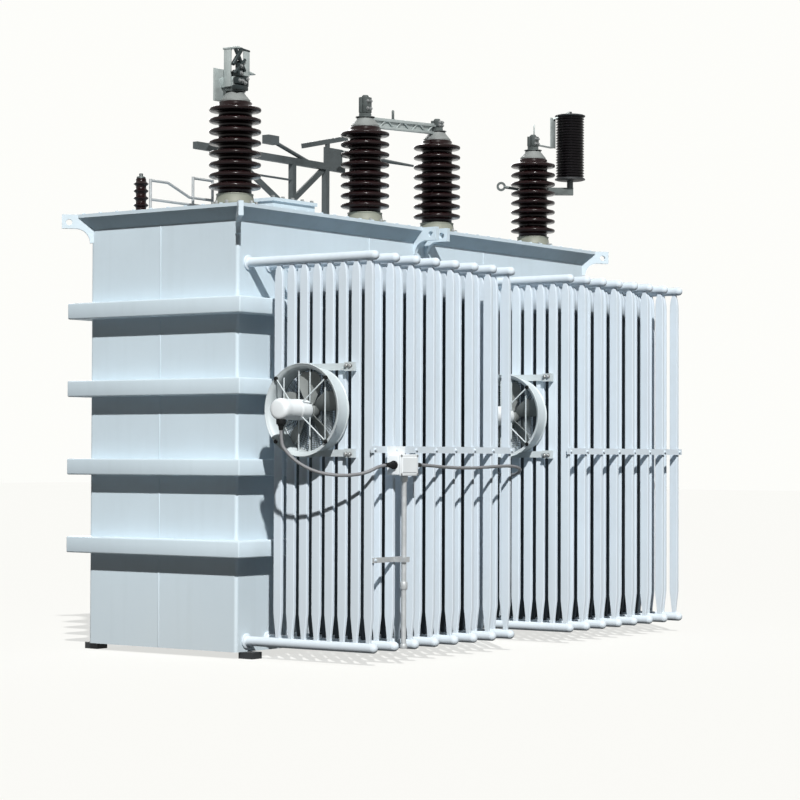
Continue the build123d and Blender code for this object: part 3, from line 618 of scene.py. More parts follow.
class TRANSFORMER_OT_fins(bpy.types.Operator):
    """Models one flat sided fin with a bullet top and a tapered foot, then both banks of rows"""
    bl_idname = "transformer.fins"
    bl_label = "Radiator fins"

    def execute(self, context):
        size = sizes()
        pipe, corner = size.header_radius, size.fin_corner
        foot = low("bank_1_headers").z + 2 * pipe - size.fin_seat
        top = high("bank_1_headers").z - 2 * pipe + size.fin_seat
        sections = [(foot + up, *shares) for up, *shares in fin_foot]
        sections += [(top - down, *shares) for down, *shares in fin_top]
        rest()
        bpy.ops.mesh.primitive_circle_add(vertices=16, radius=corner, fill_type="NGON", location=(0, 0, foot),
                                          rotation=(0, 0, pi / 16))
        fin = named("fin")
        open_mesh()
        for way, reach in ((axes["X"], size.fin_thickness / 2), (axes["Y"], size.fin_depth / 2)):
            for side in (way, -way):
                choose(fin, "VERT", lambda point: point.co.dot(side) > 0)
                bpy.ops.transform.translate(value=side * (reach - corner))
        whole()
        bpy.ops.transform.resize(value=(*sections[0][1:], 1.0), center_override=(0, 0, foot))
        for before, after in zip(sections, sections[1:]):
            choose(fin, "FACE", lambda face: abs(face.calc_center_median().z - before[0]) < 1e-5
                   and abs(face.normal.z) > 0.5)
            bpy.ops.mesh.extrude_region_move(TRANSFORM_OT_translate={"value": (0, 0, after[0] - before[0])})
            bpy.ops.transform.resize(value=(after[1] / before[1], after[2] / before[2], 1.0),
                                     center_override=(0, 0, after[0]))
        whole()
        bpy.ops.mesh.normals_make_consistent(inside=False)
        close_mesh()
        shaded = size.fins_per_row - size.clean_fins
        for bank in ("bank_1", "bank_2"):
            rows = [name for name in fin_rows() if name.startswith(bank)]
            for row in rows:
                name = row.replace("fin_row", "fins")
                if row in (rows[0], rows[-1]):
                    fin_run(fin, row, name, 0, size.fins_per_row, "radiator_paint", (row,))
                    continue
                fin_run(fin, row, name, shaded, size.clean_fins, "radiator_paint", (row,))
                # The fins behind an inner row's outer fins get the painted shade.
                fin_run(fin, row, row.replace("fin_row", "inner_fins"), 0, shaded, "shaded_paint")
        only(fin)
        bpy.ops.object.delete()
        return {"FINISHED"}


def belt_levels():
    """Heights of the undersides of the belts."""
    size = sizes()
    return evenly(low("stiffener_belts").z, high("stiffener_belts").z - size.belt_height, size.belt_count - 1)


class TRANSFORMER_OT_belts(bpy.types.Operator):
    """Models one box section belt with rounded edges and copies it up the tank"""
    bl_idname = "transformer.belts"
    bl_label = "Tank belts"

    def execute(self, context):
        size = sizes()
        near, far = low("stiffener_belts"), high("stiffener_belts")
        belt = block("belt", (near.x, near.y, 0), (far.x, far.y, size.belt_height))
        open_mesh()
        choose(belt, "FACE", lambda face: abs(face.normal.z) > 0.9)
        bpy.ops.mesh.inset(thickness=size.belt_depth)
        bpy.ops.mesh.bridge_edge_loops()
        choose(belt, "EDGE", lambda edge: all(abs(point.co.x) > far.x - 1e-4 for point in edge.verts))
        bpy.ops.mesh.bevel(offset=size.belt_edge, segments=3, affect="EDGES")
        close_mesh()
        belts = spread(belt, "belts", [(0, 0, level) for level in belt_levels()])
        dress(belts, "tank_paint", instead=("stiffener_belts",))
        return {"FINISHED"}


class TRANSFORMER_OT_seams(bpy.types.Operator):
    """Models the weld seams down the tank's walls between the belts"""
    bl_idname = "transformer.seams"
    bl_label = "Tank seams"

    def execute(self, context):
        size = sizes()
        near, far = low("tank_body"), high("tank_body")
        wide, proud, across = size.seam_width / 2, size.seam_height, size.end_seam
        foot_gap, soft = 0.004, proud * 0.8
        edges = [near.z + foot_gap]
        for level in belt_levels():
            edges += [level, level + size.belt_height]
        edges.append(low("tank_rim").z)
        strips = []
        for bottom, top in zip(edges[::2], edges[1::2]):
            for end, long in ((near.x, near.y), (far.x, far.y)):
                corners = [((end - proud, across - wide, bottom), (end + proud, across + wide, top))]
                corners += [((x - wide, long - proud, bottom), (x + wide, long + proud, top)) for x in size.long_seams]
                strips += [block("seam", *pair, soft=soft) for pair in corners]
        dress(joined("wall_seams", *strips), "tank_paint")
        return {"FINISHED"}


class TRANSFORMER_OT_cover_bolts(bpy.types.Operator):
    """Models the bolts round the cover and the hatch lid"""
    bl_idname = "transformer.cover_bolts"
    bl_label = "Cover bolts"

    def execute(self, context):
        size = sizes()
        inset = Vector((size.cover_bolt_inset, size.cover_bolt_inset, 0))
        near, far = low("cover_plate") + inset, high("cover_plate") - inset
        across = round((far.x - near.x) / size.cover_bolt_pitch)
        along = round((far.y - near.y) / size.cover_bolt_pitch)
        places = [(x, y, far.z) for x in evenly(near.x, far.x, across) for y in (near.y, far.y)]
        places += [(x, y, far.z) for y in evenly(near.y, far.y, along)[1:-1] for x in (near.x, far.x)]
        dress(spread(bolt("cover_bolt", radius=0.013, tall=0.010), "cover_bolts", places), "tank_paint")
        inset = Vector((size.hatch_bolt_inset, size.hatch_bolt_inset, 0))
        near, far = low("hatch_lid") + inset, high("hatch_lid") - inset
        places = [(x, y, far.z) for x in evenly(near.x, far.x, 4) for y in (near.y, far.y)]
        zinc_bolts("hatch_bolts", places, radius=0.014, tall=0.016)
        return {"FINISHED"}


class TRANSFORMER_OT_headers(bpy.types.Operator):
    """Models the collar where a header meets the wall and sets one on every header"""
    bl_idname = "transformer.headers"
    bl_label = "Header collars"

    def execute(self, context):
        pipe = sizes().header_radius
        collar = turned("header_collar", outline(0.0, (-4, 0), (16, 0), (18, -2), (18, -10), (14, -13), (4, -15),
                                                 (1, -24), (-4, -26), out=pipe), axis="Y", steps=20)
        levels = (low("bank_1_headers").z + pipe, high("bank_1_headers").z - pipe)
        places = [(middle(row).x, low("tank_body").y, level) for row in fin_rows() for level in levels]
        dress(spread(collar, "header_collars", places), "radiator_paint")
        return {"FINISHED"}


# A shed's edge from its underside to its top: share of its reach, share of the pitch
shed_edge = ((0.0, -0.40), (0.08, -0.33), (0.40, -0.28), (0.84, -0.23), (0.95, -0.18), (1.0, -0.09), (1.0, 0.01),
             (0.95, 0.09), (0.84, 0.13), (0.45, 0.21), (0.10, 0.31), (0.0, 0.40))


class TRANSFORMER_OT_bushings(bpy.types.Operator):
    """Models one bushing, from its base ring to its cap, and sets four on the cover"""
    bl_idname = "transformer.bushings"
    bl_label = "Bushings"

    def execute(self, context):
        size = sizes()
        spots = [(x, size.bushing_line, 0) for x in size.bushing_places]
        flange, ring, shell, cap, stud = (
            low("bushing_" + name).z for name in ("flanges", "base_rings", "porcelains", "caps", "studs"))
        base = turned("base_ring", outline(ring, (0, 0), (139, 0), (142, 4), (142, 20), (137, 26), (132, 40), (127, 66))
                      + outline(shell, (127, -12), (130, -8), (129, -2), (120, 0), (0, 0)), steps=48)
        dress(spread(base, "base_rings", spots), "ring_paint", instead=("bushing_base_rings",))
        core, reach, pitch = size.core_radius, size.shed_radius - size.core_radius, size.shed_pitch
        points = [(0, shell), (core * 0.96, shell), (core, shell + 0.005)]
        for index in range(size.shed_count):
            level = shell + size.shed_first + index * pitch
            points += [(core + reach * share, level + rise * pitch) for share, rise in shed_edge]
        points += [(core, cap - 0.005), (core * 0.96, cap), (0, cap)]
        column = turned("porcelain", points, steps=56)
        dress(spread(column, "porcelains", spots), "brown_porcelain", instead=("bushing_porcelains",), crease=60.0)
        dome = turned("cap", outline(cap, (0, -1), (100, -1), (104, 3), (104, 14), (99, 19), (80, 42), (66, 60))
                      + outline(stud, (60, -4), (52, 0), (0, 0)), steps=48)
        dress(spread(dome, "caps", spots), "cap_metal", instead=("bushing_caps",))
        places = []
        for x, y, _ in spots:
            for index in range(size.flange_nuts):
                turn = 2 * pi * (index + 0.5) / size.flange_nuts
                places.append((x + size.flange_circle * cos(turn), y + size.flange_circle * sin(turn), ring - 0.001))
        zinc_bolts("flange_nuts", places, radius=0.012, tall=0.030)
        gasket = turned("gasket", outline(flange, (150, 0), (160, 0), (162, 2), (162, 5), (158, 7), (150, 7), (150, 0)))
        dress(spread(gasket, "gaskets", spots), "dark_steel")
        return {"FINISHED"}


class TRANSFORMER_OT_studs(bpy.types.Operator):
    """Models the bolted clamps on the bushing studs"""
    bl_idname = "transformer.studs"
    bl_label = "Stud clamps"

    def execute(self, context):
        size = sizes()
        foot, y = low("bushing_studs").z, size.bushing_line
        made, screws = [], []
        for x, tall in zip(size.bushing_places, size.stud_heights):
            nut = bolt("stud_nut", radius=0.050, tall=0.030)
            made.append(spread(nut, "stud_nut", [(x, y, foot - 0.002)]))
            made.append(turned("stud", outline(foot, (0, 0), (26, 0)) + outline(foot + tall, (26, -8), (20, 0), (0, 0)),
                               (x, y, 0), steps=24))
            start, end = foot + 0.032, foot + tall - 0.014
            for inner, outer in ((-0.036, -0.004), (0.004, 0.036)):
                made.append(block("jaw", (x - 0.036, y + inner, start), (x + 0.036, y + outer, end), soft=0.006))
            for share in (0.28, 0.74):
                level = start + share * (end - start)
                screws += [(x - 0.020, y - 0.036, level), (x + 0.020, y - 0.036, level)]
        dress(joined("stud_clamps", *made), "clamp_metal", instead=("bushing_studs",))
        zinc_bolts("clamp_screws", screws, radius=0.009, tall=0.012, axis="-Y")
        return {"FINISHED"}


class TRANSFORMER_OT_small_bushing(bpy.types.Operator):
    """Models the small bushing near the end wall"""
    bl_idname = "transformer.small_bushing"
    bl_label = "Small bushing"

    def execute(self, context):
        spot = (*middle("small_bushing").xy, 0)
        foot, top = low("small_bushing").z, high("small_bushing").z
        points = outline(foot, (0, 0), (62, 0), (64, 3), (64, 14), (50, 18), (40, 24), (36, 30))
        for level in (62, 112, 162, 212):
            points += outline(foot + mm(level), (36, -20), (40, -13), (50, -6), (53, 0), (50, 4), (41, 10), (36, 19))
        points += outline(top, (36, -44), (34, -36), (0, -36))
        dress(turned("small_porcelain", points, spot, steps=36), "brown_porcelain", instead=("small_bushing",),
              crease=60.0)
        points = outline(top, (0, -37), (30, -37), (32, -33), (30, -24), (16, -18), (14, -14), (14, -2), (11, 0),
                         (0, 0))
        dress(turned("small_terminal", points, spot, steps=24), "clamp_metal")
        return {"FINISHED"}


class TRANSFORMER_OT_arrester(bpy.types.Operator):
    """Models the finely ribbed surge arrester with its flared ends"""
    bl_idname = "transformer.arrester"
    bl_label = "Surge arrester"

    def execute(self, context):
        size = sizes()
        spot = (*middle("arrester_housing").xy, 0)
        foot, top = low("arrester_housing").z, high("arrester_housing").z
        bottom, crown = low("arrester_caps").z, high("arrester_caps").z
        wide, ribs = size.arrester_radius, size.arrester_ribs
        groove = wide - 0.010
        pitch = (top - foot - 0.010) / ribs
        points = [(0, foot), (groove, foot)]
        for index in range(ribs):
            level = foot + 0.005 + pitch * index
            points += [(radius, level + share * pitch) for radius, share in (
                (groove, 0.10), (wide - 0.003, 0.26), (wide, 0.42), (wide, 0.56), (groove, 0.84))]
        points += [(groove, top), (0, top)]
        dress(turned("arrester_column", points, spot, steps=48), "dark_porcelain", instead=("arrester_housing",),
              crease=50.0)
        points = [(0, foot - 0.001)] + outline(foot, (-2, -1), (8, -8), (9, -16), (-8, -22), out=wide)
        lower = turned("arrester_foot", points + outline(bottom, (50, 0), (0, 0)), spot, steps=48)
        points = [(0, top - 0.001)] + outline(top, (-2, -1), (8, 5), (9, 12), (-4, 18), out=wide)
        points += outline(top, (72, 24)) + outline(crown, (40, 3), (16, 6), (14, 20), (0, 20))
        upper = turned("arrester_head", points, spot, steps=48)
        dress(joined("arrester_ends", upper, lower), "dark_steel", instead=("arrester_caps",))
        return {"FINISHED"}


class TRANSFORMER_OT_fan_rings(bpy.types.Operator):
    """Models the fan rings with their rolled bell mouths"""
    bl_idname = "transformer.fan_rings"
    bl_label = "Fan rings"

    def execute(self, context):
        size = sizes()
        throat, outside = size.fan_throat, size.fan_throat + size.fan_wall
        deep = high("fan_1_ring").x - low("fan_1_ring").x
        points = outline(0.0, (27, 4), (19, 6), (10, 13), (3, 25), (0, 40), out=throat)
        points += outline(deep, (0, -4), (-4, -1), (-2, 0), out=throat)
        points += outline(deep, (4, 0), (6, -5), (0, -10), out=outside)
        points += outline(0.0, (0, 48), (4, 33), (12, 21), (20, 14), (26, 11), (29, 6), (28, 1), out=outside)
        points += outline(0.0, (30, 0), (27, 4), out=throat)
        for fan in (1, 2):
            ring = turned(f"fan_{fan}_shroud", points, fan_hub(fan), axis="X", steps=72)
            dress(ring, "fan_paint", instead=(f"fan_{fan}_ring",), crease=40.0)
        return {"FINISHED"}


# The four arms of a guard, as turns about the fan's axis
arm_turns = (pi / 4, 3 * pi / 4, 5 * pi / 4, 7 * pi / 4)


class TRANSFORMER_OT_fan_guards(bpy.types.Operator):
    """Models the arms that carry the motors and the upright bars across the fans' mouths"""
    bl_idname = "transformer.fan_guards"
    bl_label = "Fan guards"

    def execute(self, context):
        size = sizes()
        throat, grip, half = size.fan_throat, size.guard_grip, size.guard_bar / 2
        for fan in (1, 2):
            hub = fan_hub(fan)
            pieces = []
            for turn in arm_turns:
                out = Vector((0, cos(turn), sin(turn)))
                pieces.append(bar("arm", hub + out * grip - axes["X"] * 0.045, hub + out * (throat + 0.024),
                                  size.guard_arm))
            for offset in (-0.171, -0.046, 0.046, 0.171):
                reach = (throat ** 2 - offset ** 2) ** 0.5 + 0.002
                inner = max(0.0, grip ** 2 - offset ** 2) ** 0.5
                runs = ((inner, reach), (-reach, -inner)) if inner else ((-reach, reach),)
                for start, end in runs:
                    pieces.append(block("upright", hub + Vector((0.034, offset - half, start)),
                                        hub + Vector((0.040, offset + half, end)), soft=0.0015))
            dress(joined(f"fan_{fan}_grille", *pieces), "fan_paint", instead=(f"fan_{fan}_guard",))
        return {"FINISHED"}


motor_points = ((0, -243), (44, -243), (58, -240), (66, -233), (70.5, -222), (71.5, -212), (71.5, -176), (70.5, -172),
                (68, -171), (68, -62), (69.2, -61), (69.5, -60), (69.5, -30), (69.2, -29), (68, -28), (68, 36),
                (65, 48), (56, 56), (30, 58), (14.8, 58), (14.8, 103), (0, 103))
gland_points = ((0, 55), (29, 55), (31, 52), (31, 14), (29, 10), (22, 8), (22, 2), (20, -1), (17.5, -3), (16.5, -10),
                (13.5, -26), (11.8, -28), (0, -28))
knob_points = ((0, -12), (10, -12), (14, -9), (15, -4), (13, 2), (9, 6), (0, 8))


class TRANSFORMER_OT_fan_motors(bpy.types.Operator):
    """Models the fan motors with their clamp bands and glands, the knobs of the guard arms and the wire screens"""
    bl_idname = "transformer.fan_motors"
    bl_label = "Fan motors"

    def execute(self, context):
        size = sizes()
        reach = size.fan_throat + 0.020
        for fan in (1, 2):
            hub = fan_hub(fan)
            motor = turned(f"fan_{fan}_drive", outline(0.0, *motor_points), hub, axis="X", steps=48)
            dress(motor, "motor_paint", instead=(f"fan_{fan}_motor",), crease=40.0)
            gland = turned(f"fan_{fan}_gland", outline(0.0, *gland_points), off(hub, (-205, 0, -108)), steps=20)
            dress(gland, "gland_black")
            knob = turned("knob", outline(0.0, *knob_points), axis="X", steps=14)
            places = [hub + Vector((0.0, reach * cos(turn), reach * sin(turn))) for turn in arm_turns]
            dress(spread(knob, f"fan_{fan}_knobs", places), "gland_black")
            rings = [(radius, 0.1465) for radius in evenly(0.030, size.fan_throat, 18)]
            screen = turned(f"fan_{fan}_screen", rings, hub, axis="X", steps=60)
            wires = screen.modifiers.new("wires", "WIREFRAME")
            wires.thickness = size.screen_wire
            wires.use_even_offset = False
            bpy.ops.object.modifier_apply(modifier="wires")
            dress(screen, "frame_steel")
        return {"FINISHED"}


# Shares of the blade's width from its root to its tip
blade_widths = (0.62, 0.80, 1.02, 1.22, 1.38, 1.47, 1.46, 1.30, 0.86)


class TRANSFORMER_OT_fan_rotors(bpy.types.Operator):
    """Models one twisted fan blade and the hub, and sets five blades round it"""
    bl_idname = "transformer.fan_rotors"
    bl_label = "Fan rotors"

    def execute(self, context):
        size = sizes()
        root, tip = size.blade_root, size.blade_tip
        for fan in (1, 2):
            centre = fan_hub(fan) + axes["X"] * 0.095
            hub = turned("hub", outline(0.0, (16, -29), (50, -29), (58, -26), (62, -19), (62, 22), (58, 28), (46, 29),
                                        (16, 29), (16, -29)), centre, axis="X", steps=36)
            rest()
            bpy.ops.mesh.primitive_plane_add(size=1.0, location=(0, 0, (root + tip) / 2), rotation=(pi / 2, 0, 0))
            bpy.context.object.scale = (size.blade_width, tip - root, 1.0)
            blade = named("blade")
            open_mesh()
            whole()
            gaps = len(blade_widths) - 1
            bpy.ops.mesh.subdivide(number_cuts=gaps - 1)
            pitches = evenly(size.root_pitch, size.tip_pitch, gaps)
            for level, wide, pitch in zip(evenly(root, tip, gaps), blade_widths, pitches):
                choose(blade, "VERT", lambda point: abs(point.co.z - level) < 1e-4)
                bpy.ops.transform.resize(value=(wide, 1.0, 1.0), center_override=(0, 0, level))
                bpy.ops.transform.rotate(value=-pitch, orient_axis="Z", center_override=(0, 0, level))
            whole()
            bpy.ops.transform.rotate(value=pi / 2, orient_axis="Z", center_override=(0, 0, 0))
            close_mesh()
            skin = blade.modifiers.new("skin", "SOLIDIFY")
            skin.thickness = size.blade_thickness
            skin.offset = 0.0
            bpy.ops.object.modifier_apply(modifier="skin")
            open_mesh()
            whole()
            bpy.ops.transform.translate(value=centre)
            whole()
            bpy.ops.mesh.spin(steps=size.blade_count, dupli=True, angle=2 * pi, center=centre, axis=axes["X"])
            face_outwards()
            close_mesh()
            rotor = joined(f"fan_{fan}_blades", hub, blade)
            dress(rotor, "rotor_grey", instead=(f"fan_{fan}_rotor",), body=f"rotor_{fan}", crease=40.0)
        return {"FINISHED"}


box_gland_points = ((0, -2), (28, -2), (28, 14), (21, 16), (21, 40), (17.5, 48), (16.5, 56), (13.5, 96), (11.8, 100),
                    (0, 100))


class TRANSFORMER_OT_junction_box(bpy.types.Operator):
    """Models the junction box, its lid with screws, its glands and the conduit fittings"""
    bl_idname = "transformer.junction_box"
    bl_label = "Junction box"

    def execute(self, context):
        size = sizes()
        spot, half = middle("junction_box"), size.box_length / 2
        near = Vector((spot.x - half, *low("junction_box").yz))
        far = Vector((spot.x + half, *high("junction_box").yz))
        case = block("case", off(near, (0, 14, 0)), far, soft=0.008, steps=3)
        lid = block("lid", off(near, (-4, 0, -4)), off(Vector((far.x, near.y, far.z)), (4, 12, 4)), soft=0.004)
        open_mesh()
        choose(lid, "FACE", lambda face: face.normal.y < -0.99 and face.calc_area() > 0.004)
        bpy.ops.mesh.inset(thickness=0.016)
        bpy.ops.mesh.inset(thickness=0.003)
        bpy.ops.transform.translate(value=(0, -0.003, 0))
        close_mesh()
        dress(joined("junction_box_case", case, lid), "motor_paint", instead=("junction_box",))
        inset = 0.006
        places = [(x, near.y, z) for x in (near.x + inset, far.x - inset) for z in (near.z + inset, far.z - inset)]
        zinc_bolts("lid_screws", places, radius=0.006, tall=0.006, axis="-Y")
        glands = []
        for face, side in ((near.x, -1), (far.x, 1)):
            points = outline(0.0, *((radius, along * side) for radius, along in box_gland_points))
            glands.append(turned("box_gland", points, (face, size.box_line, spot.z), axis="X", steps=18))
        dress(joined("box_glands", *glands), "gland_black")
        foot, top = low("conduit").z, high("conduit").z
        fittings = []
        for level, tall in ((top - 0.040, 0.040), (foot, 0.030), ((foot + top) / 2 - 0.18, 0.050)):
            points = outline(level, (16.5, 0), (22, 0), (24, 3))
            points += outline(level + tall, (24, -3), (22, 0), (16.5, 0)) + points[:1]
            fittings.append(turned("coupling", points, (*middle("conduit").xy, 0), steps=20))
        dress(joined("conduit_couplings", *fittings), "galvanised_steel")
        return {"FINISHED"}


class TRANSFORMER_OT_fixings(bpy.types.Operator):
    """Sets bolts on the fan brackets, the straps and the conduit clamp"""
    bl_idname = "transformer.fixings"
    bl_label = "Bracket and strap bolts"

    def execute(self, context):
        places = []
        for name in ("fan_1_brackets", "fan_2_brackets"):
            near, far = low(name), high(name)
            places += [(near.x + 0.001, near.y + inset, z) for z in (near.z + 0.023, far.z - 0.023)
                       for inset in (0.020, 0.050)]
        zinc_bolts("bracket_bolts", places, radius=0.011, tall=0.014, axis="-X")
        front, level = low("radiator_straps").y, middle("radiator_straps").z
        places = [(middle(row).x, front, level) for row in fin_rows()]
        near, far = low("conduit_clamp"), high("conduit_clamp")
        places += [(x, far.y - 0.008, middle("conduit_clamp").z) for x in (near.x + 0.022, far.x - 0.022)]
        head = bolt("strap_bolt", radius=0.008, tall=0.010, axis="-Y")
        dress(spread(head, "strap_bolts", places), "radiator_paint")
        return {"FINISHED"}


# The line terminal's dark pieces, in millimetres from the foot of its front plate: two ends, then rounding or radius
# The first dark block is a sheet of painted shade that fills the gap behind the front plate so that it reads dark.
shade_sheet_corners = ((-50, 2, -10), (24, 8, 176), 2)
jaw_corners = (((-74, -30, -26), (48, 20, 6), 6), ((-72, -36, 12), (-6, 10, 60), 8), ((2, -24, 4), (60, 4, 78), 6),
               ((-60, -30, 66), (-8, 10, 112), 8), ((-52, -24, 118), (6, 0, 160), 8))
brace_ends = (((-100, -12, 140), (-4, -12, 262), 15), ((-66, -6, 256), (34, -6, 110), 14),
              ((-90, -16, 80), (26, -16, 190), 12), ((-50, -6, 264), (84, -6, 254), 9))
jaw_bolts = ((-54, -36, 36), (-22, -36, 36), (20, -24, 28), (44, -24, 56), (-34, -30, 89), (-24, -24, 139))
horn_points = ((0, 0), (14, 0), (13, 20), (7, 55), (3, 72), (0, 73))


class TRANSFORMER_OT_terminals(bpy.types.Operator):
    """Models the line terminal on the first bushing with its plates, jaws, braces and horn"""
    bl_idname = "transformer.terminals"
    bl_label = "Line terminal"

    def execute(self, context):
        size = sizes()
        x, y = size.bushing_places[0], size.bushing_line
        near, far = low("line_terminal"), high("line_terminal")
        sheet = 0.012
        foot, front, rear = low("bushing_studs").z + 0.030, near.y + sheet, far.y - sheet
        origin = Vector((x, front, foot))
        plates = [
            block("rear_plate", (near.x, rear, near.z), (x + 0.060, far.y, near.z + 0.226), soft=0.002),
            block("side_plate", (x - 0.060, y - 0.007, foot), (x - 0.048, y + 0.055, far.z - 0.004), soft=0.002),
            block("front_plate", off(origin, (22, -12, 80)), off(origin, (82, 0, 250)), soft=0.002),
            block("clamp", (x - 0.048, y - 0.048, foot), (x + 0.048, rear, foot + 0.070), soft=0.004),
            block("top_plate", (x - 0.064, y - 0.068, far.z - 0.014), (x - 0.030, y + 0.062, far.z), soft=0.003),
            turned("horn", outline(0.0, *horn_points), off(origin, (78, -6, 104)), axis="X", steps=14),
        ]
        dress(joined("line_plates", *plates), "terminal_metal", instead=("line_terminal",))
        # Dark jaws and braces, together with a sheet of painted shade in the gap behind the front plate.
        jaws = [block("jaw", off(origin, start), off(origin, end), soft=mm(soft))
                for start, end, soft in (shade_sheet_corners, *jaw_corners)]
        jaws += [bar("brace", off(origin, start), off(origin, end), mm(radius)) for start, end, radius in brace_ends]
        dress(joined("line_jaws", *jaws), "clamp_dark")
        zinc_bolts("jaw_bolts", [off(origin, place) for place in jaw_bolts], radius=0.009, tall=0.012, axis="-Y")
        return {"FINISHED"}


class TRANSFORMER_OT_links(bpy.types.Operator):
    """Models the braced link between two bushings and the lead from the last bushing to the arrester"""
    bl_idname = "transformer.links"
    bl_label = "Link and arrester lead"

    def execute(self, context):
        size = sizes()
        near, far, y = low("bushing_link"), high("bushing_link"), size.bushing_line
        lower, upper, stud = near.z + 0.004, far.z + 0.008, low("bushing_studs").z
        pieces = [
            block("chord", (near.x, y - 0.018, upper - 0.018), (far.x, y + 0.018, upper + 0.006), soft=0.003),
            block("chord", (near.x, y - 0.016, lower - 0.004), (far.x, y + 0.016, lower + 0.016), soft=0.003),
            block("web", (near.x + 0.02, y - 0.004, lower), (far.x - 0.02, y + 0.004, upper), soft=0.001),
        ]
        posts = evenly(near.x, far.x, size.link_bays)
        for index, (start, end) in enumerate(zip(posts, posts[1:])):
            first, last = (lower, upper) if index % 2 else (upper, lower)
            pieces.append(bar("brace", (start, y - 0.010, first), (end, y - 0.010, last), 0.006))
        points = outline(0.0, (0, -10), (16, -10), (16, 10), (10, 14), (10, 70), (6, 78), (0, 78))
        peg = turned("link_pin", points, (near.x + 0.36 * (far.x - near.x), y, upper + 0.014), steps=14)
        dress(peg, "clamp_metal")
        truss = joined("link_truss", *pieces)
        pivot = Vector((near.x, y, lower))
        truss.matrix_world = (Matrix.Translation(pivot) @ Matrix.Rotation(-size.link_rise, 4, "Y")
                              @ Matrix.Translation(-pivot))
        settle()
        tongue = block("tongue", (far.x - 0.030, y - 0.014, stud + 0.030),
                       (size.bushing_places[2] - 0.030, y + 0.014, stud + 0.048), soft=0.002)
        dress(joined("link_truss", truss, tongue), "terminal_metal", instead=("bushing_link",))
        last = Vector((size.bushing_places[3], y, stud))
        head = middle("arrester_caps")
        lead = [
            block("tab", off(last, (20, -20, 50)), off(last, (296, 20, 58)), soft=0.002),
            block("strip", off(last, (238, -22, 50)), off(last, (312, -14, 300)), soft=0.002),
            bar("tail", off(last, (274, -18, 288)), (head.x - 0.010, head.y, high("arrester_caps").z + 0.010), 0.009),
            bar("pin", off(last, (16, 0, 120)), off(last, (16, 0, 215)), 0.006),
        ]
        dress(joined("arrester_lead", *lead), "terminal_metal")
        return {"FINISHED"}


# Stage

def plain_view(tree):
    """One for rays that look at the backdrop: from the camera, off a sheen or through glass."""
    path = node(tree, "ShaderNodeLightPath", (-700, 300)).outputs
    seen = path["Is Camera Ray"]
    for place, kind in ((-500, "Is Glossy Ray"), (-350, "Is Transmission Ray")):
        seen = node(tree, "ShaderNodeMath", (place, 450), {0: seen, 1: path[kind]},
                    operation="MAXIMUM").outputs["Value"]
    return seen


def lamp(name, toward, energy, softness):
    """A sun lamp that shines one way past the middle of the object."""
    toward = Vector(toward).normalized()
    bpy.ops.object.light_add(type="SUN", location=Vector((0.0, -0.5, 1.8)) - toward * 16.0)
    made = bpy.context.object
    made.name = name
    made.data.energy = energy
    made.data.angle = radians(softness)
    made.rotation_euler = toward.to_track_quat("-Z", "Y").to_euler()
    return made.data


class TRANSFORMER_OT_stage(bpy.types.Operator):
    """Sets the floor, the backdrop, the lamps and the camera"""
    bl_idname = "transformer.stage"
    bl_label = "Stage"

    def execute(self, context):
        rest()
        scene, size, tone = context.scene, sizes(), tones()
        bpy.ops.mesh.primitive_plane_add(size=160.0, location=(0, 0, 0))
        floor = context.object
        floor.name = "floor"
        shade = bpy.data.materials.new("floor_shade")
        shade.use_nodes = True
        tree = shade.node_tree
        tree.nodes.remove(tree.nodes["Principled BSDF"])
        glow = node(tree, "ShaderNodeEmission", (-500, 100), {"Color": (*tone.floor, 1.0), "Strength": 0.69})
        seen = node(tree, "ShaderNodeBsdfDiffuse", (-500, -50), {"Color": (*tone.floor_shade, 1.0)})
        hidden = node(tree, "ShaderNodeBsdfDiffuse", (-500, -200), {"Color": (*tone.floor_bounce, 1.0)})
        both = node(tree, "ShaderNodeAddShader", (-300, 50), {0: glow.outputs["Emission"], 1: seen.outputs["BSDF"]})
        pick = node(tree, "ShaderNodeMixShader", (-100, 100), {
            "Fac": plain_view(tree), 1: hidden.outputs["BSDF"], 2: both.outputs["Shader"]})
        fill_sockets(tree, tree.nodes["Material Output"], {"Surface": pick.outputs["Shader"]})
        floor.data.materials.append(shade)

        scene.world = bpy.data.worlds.new("backdrop")
        scene.world.use_nodes = True
        tree = scene.world.node_tree
        dim = tree.nodes["Background"]
        fill_sockets(tree, dim, {"Color": (*tone.sky, 1.0), "Strength": 0.05})
        white = node(tree, "ShaderNodeBackground", (0, -150), {"Color": (*tone.backdrop, 1.0), "Strength": 1.0})
        pick = node(tree, "ShaderNodeMixShader", (200, 0), {
            "Fac": plain_view(tree), 1: dim.outputs["Background"], 2: white.outputs["Background"]})
        fill_sockets(tree, tree.nodes["World Output"], {"Surface": pick.outputs["Shader"]})

        lamp("key_lamp", (1.06, 1.03, -1.22), energy=5.15, softness=1.2).color = tone.key
        lamp("fill_lamp", (-0.90, -1.00, -0.55), energy=1.3, softness=30.0).use_shadow = False

        bpy.ops.object.camera_add(location=size.camera_place)
        camera = context.object
        camera.name = "camera"
        camera.data.lens = size.camera_lens
        camera.data.sensor_width = 36.0
        camera.data.clip_end = 300.0
        turn = (Matrix.Rotation(size.camera_heading - pi / 2, 4, "Z")
                @ Matrix.Rotation(pi / 2 + size.camera_tilt, 4, "X")
                @ Matrix.Rotation(size.camera_roll, 4, "Z"))
        camera.matrix_world = Matrix.Translation(Vector(size.camera_place)) @ turn
        scene.camera = camera
        scene.view_settings.view_transform = "Standard"
        return {"FINISHED"}


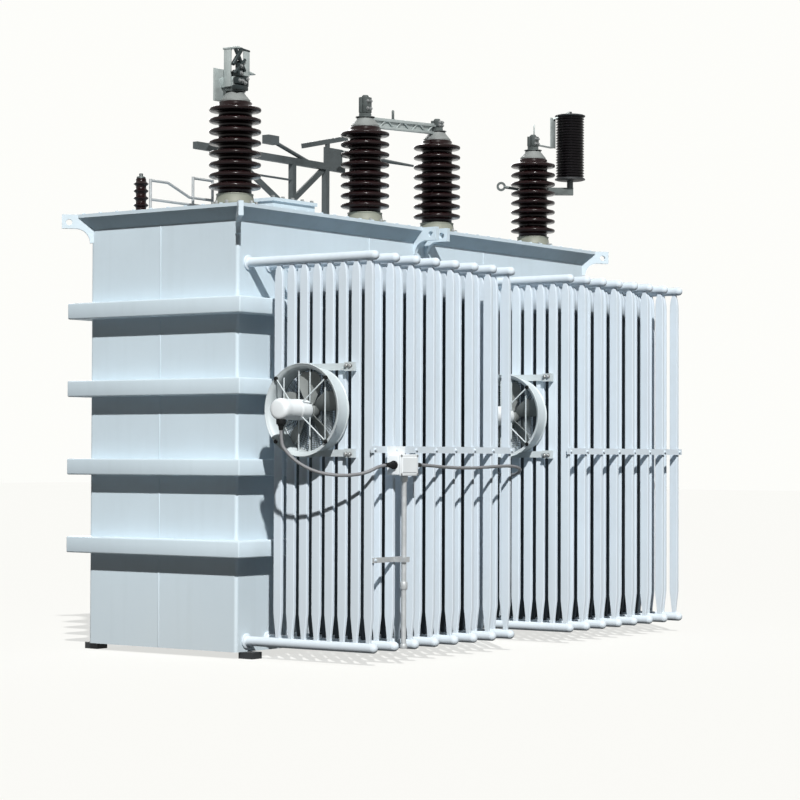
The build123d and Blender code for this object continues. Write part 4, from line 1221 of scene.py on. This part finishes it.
class TRANSFORMER_PT_pieces(bpy.types.Panel):
    """Lists the steps that model the transformer"""
    bl_label = "Transformer"
    bl_idname = "TRANSFORMER_PT_pieces"
    bl_space_type = "VIEW_3D"
    bl_region_type = "UI"
    bl_category = "Transformer"

    def draw(self, context):
        for step in steps:
            self.layout.operator(step.bl_idname)


steps = (
    TRANSFORMER_OT_coats,
    TRANSFORMER_OT_cables,
    TRANSFORMER_OT_fins,
    TRANSFORMER_OT_belts,
    TRANSFORMER_OT_seams,
    TRANSFORMER_OT_cover_bolts,
    TRANSFORMER_OT_headers,
    TRANSFORMER_OT_bushings,
    TRANSFORMER_OT_studs,
    TRANSFORMER_OT_small_bushing,
    TRANSFORMER_OT_arrester,
    TRANSFORMER_OT_fan_rings,
    TRANSFORMER_OT_fan_guards,
    TRANSFORMER_OT_fan_motors,
    TRANSFORMER_OT_fan_rotors,
    TRANSFORMER_OT_junction_box,
    TRANSFORMER_OT_fixings,
    TRANSFORMER_OT_terminals,
    TRANSFORMER_OT_links,
    TRANSFORMER_OT_stage,
)
classes = (TransformerSizes, TransformerColours, *steps, TRANSFORMER_PT_pieces)


def register():
    for made in classes:
        bpy.utils.register_class(made)
    bpy.types.Scene.transformer_sizes = bpy.props.PointerProperty(type=TransformerSizes)
    bpy.types.Scene.transformer_colours = bpy.props.PointerProperty(type=TransformerColours)


def unregister():
    del bpy.types.Scene.transformer_colours
    del bpy.types.Scene.transformer_sizes
    for made in reversed(classes):
        bpy.utils.unregister_class(made)


def main():
    register()
    bpy.ops.transformer.coats()
    bpy.ops.transformer.cables()
    bpy.ops.transformer.fins()
    bpy.ops.transformer.belts()
    bpy.ops.transformer.seams()
    bpy.ops.transformer.cover_bolts()
    bpy.ops.transformer.headers()
    bpy.ops.transformer.bushings()
    bpy.ops.transformer.studs()
    bpy.ops.transformer.small_bushing()
    bpy.ops.transformer.arrester()
    bpy.ops.transformer.fan_rings()
    bpy.ops.transformer.fan_guards()
    bpy.ops.transformer.fan_motors()
    bpy.ops.transformer.fan_rotors()
    bpy.ops.transformer.junction_box()
    bpy.ops.transformer.fixings()
    bpy.ops.transformer.terminals()
    bpy.ops.transformer.links()
    bpy.ops.transformer.stage()


if __name__ == "__main__":
    main()
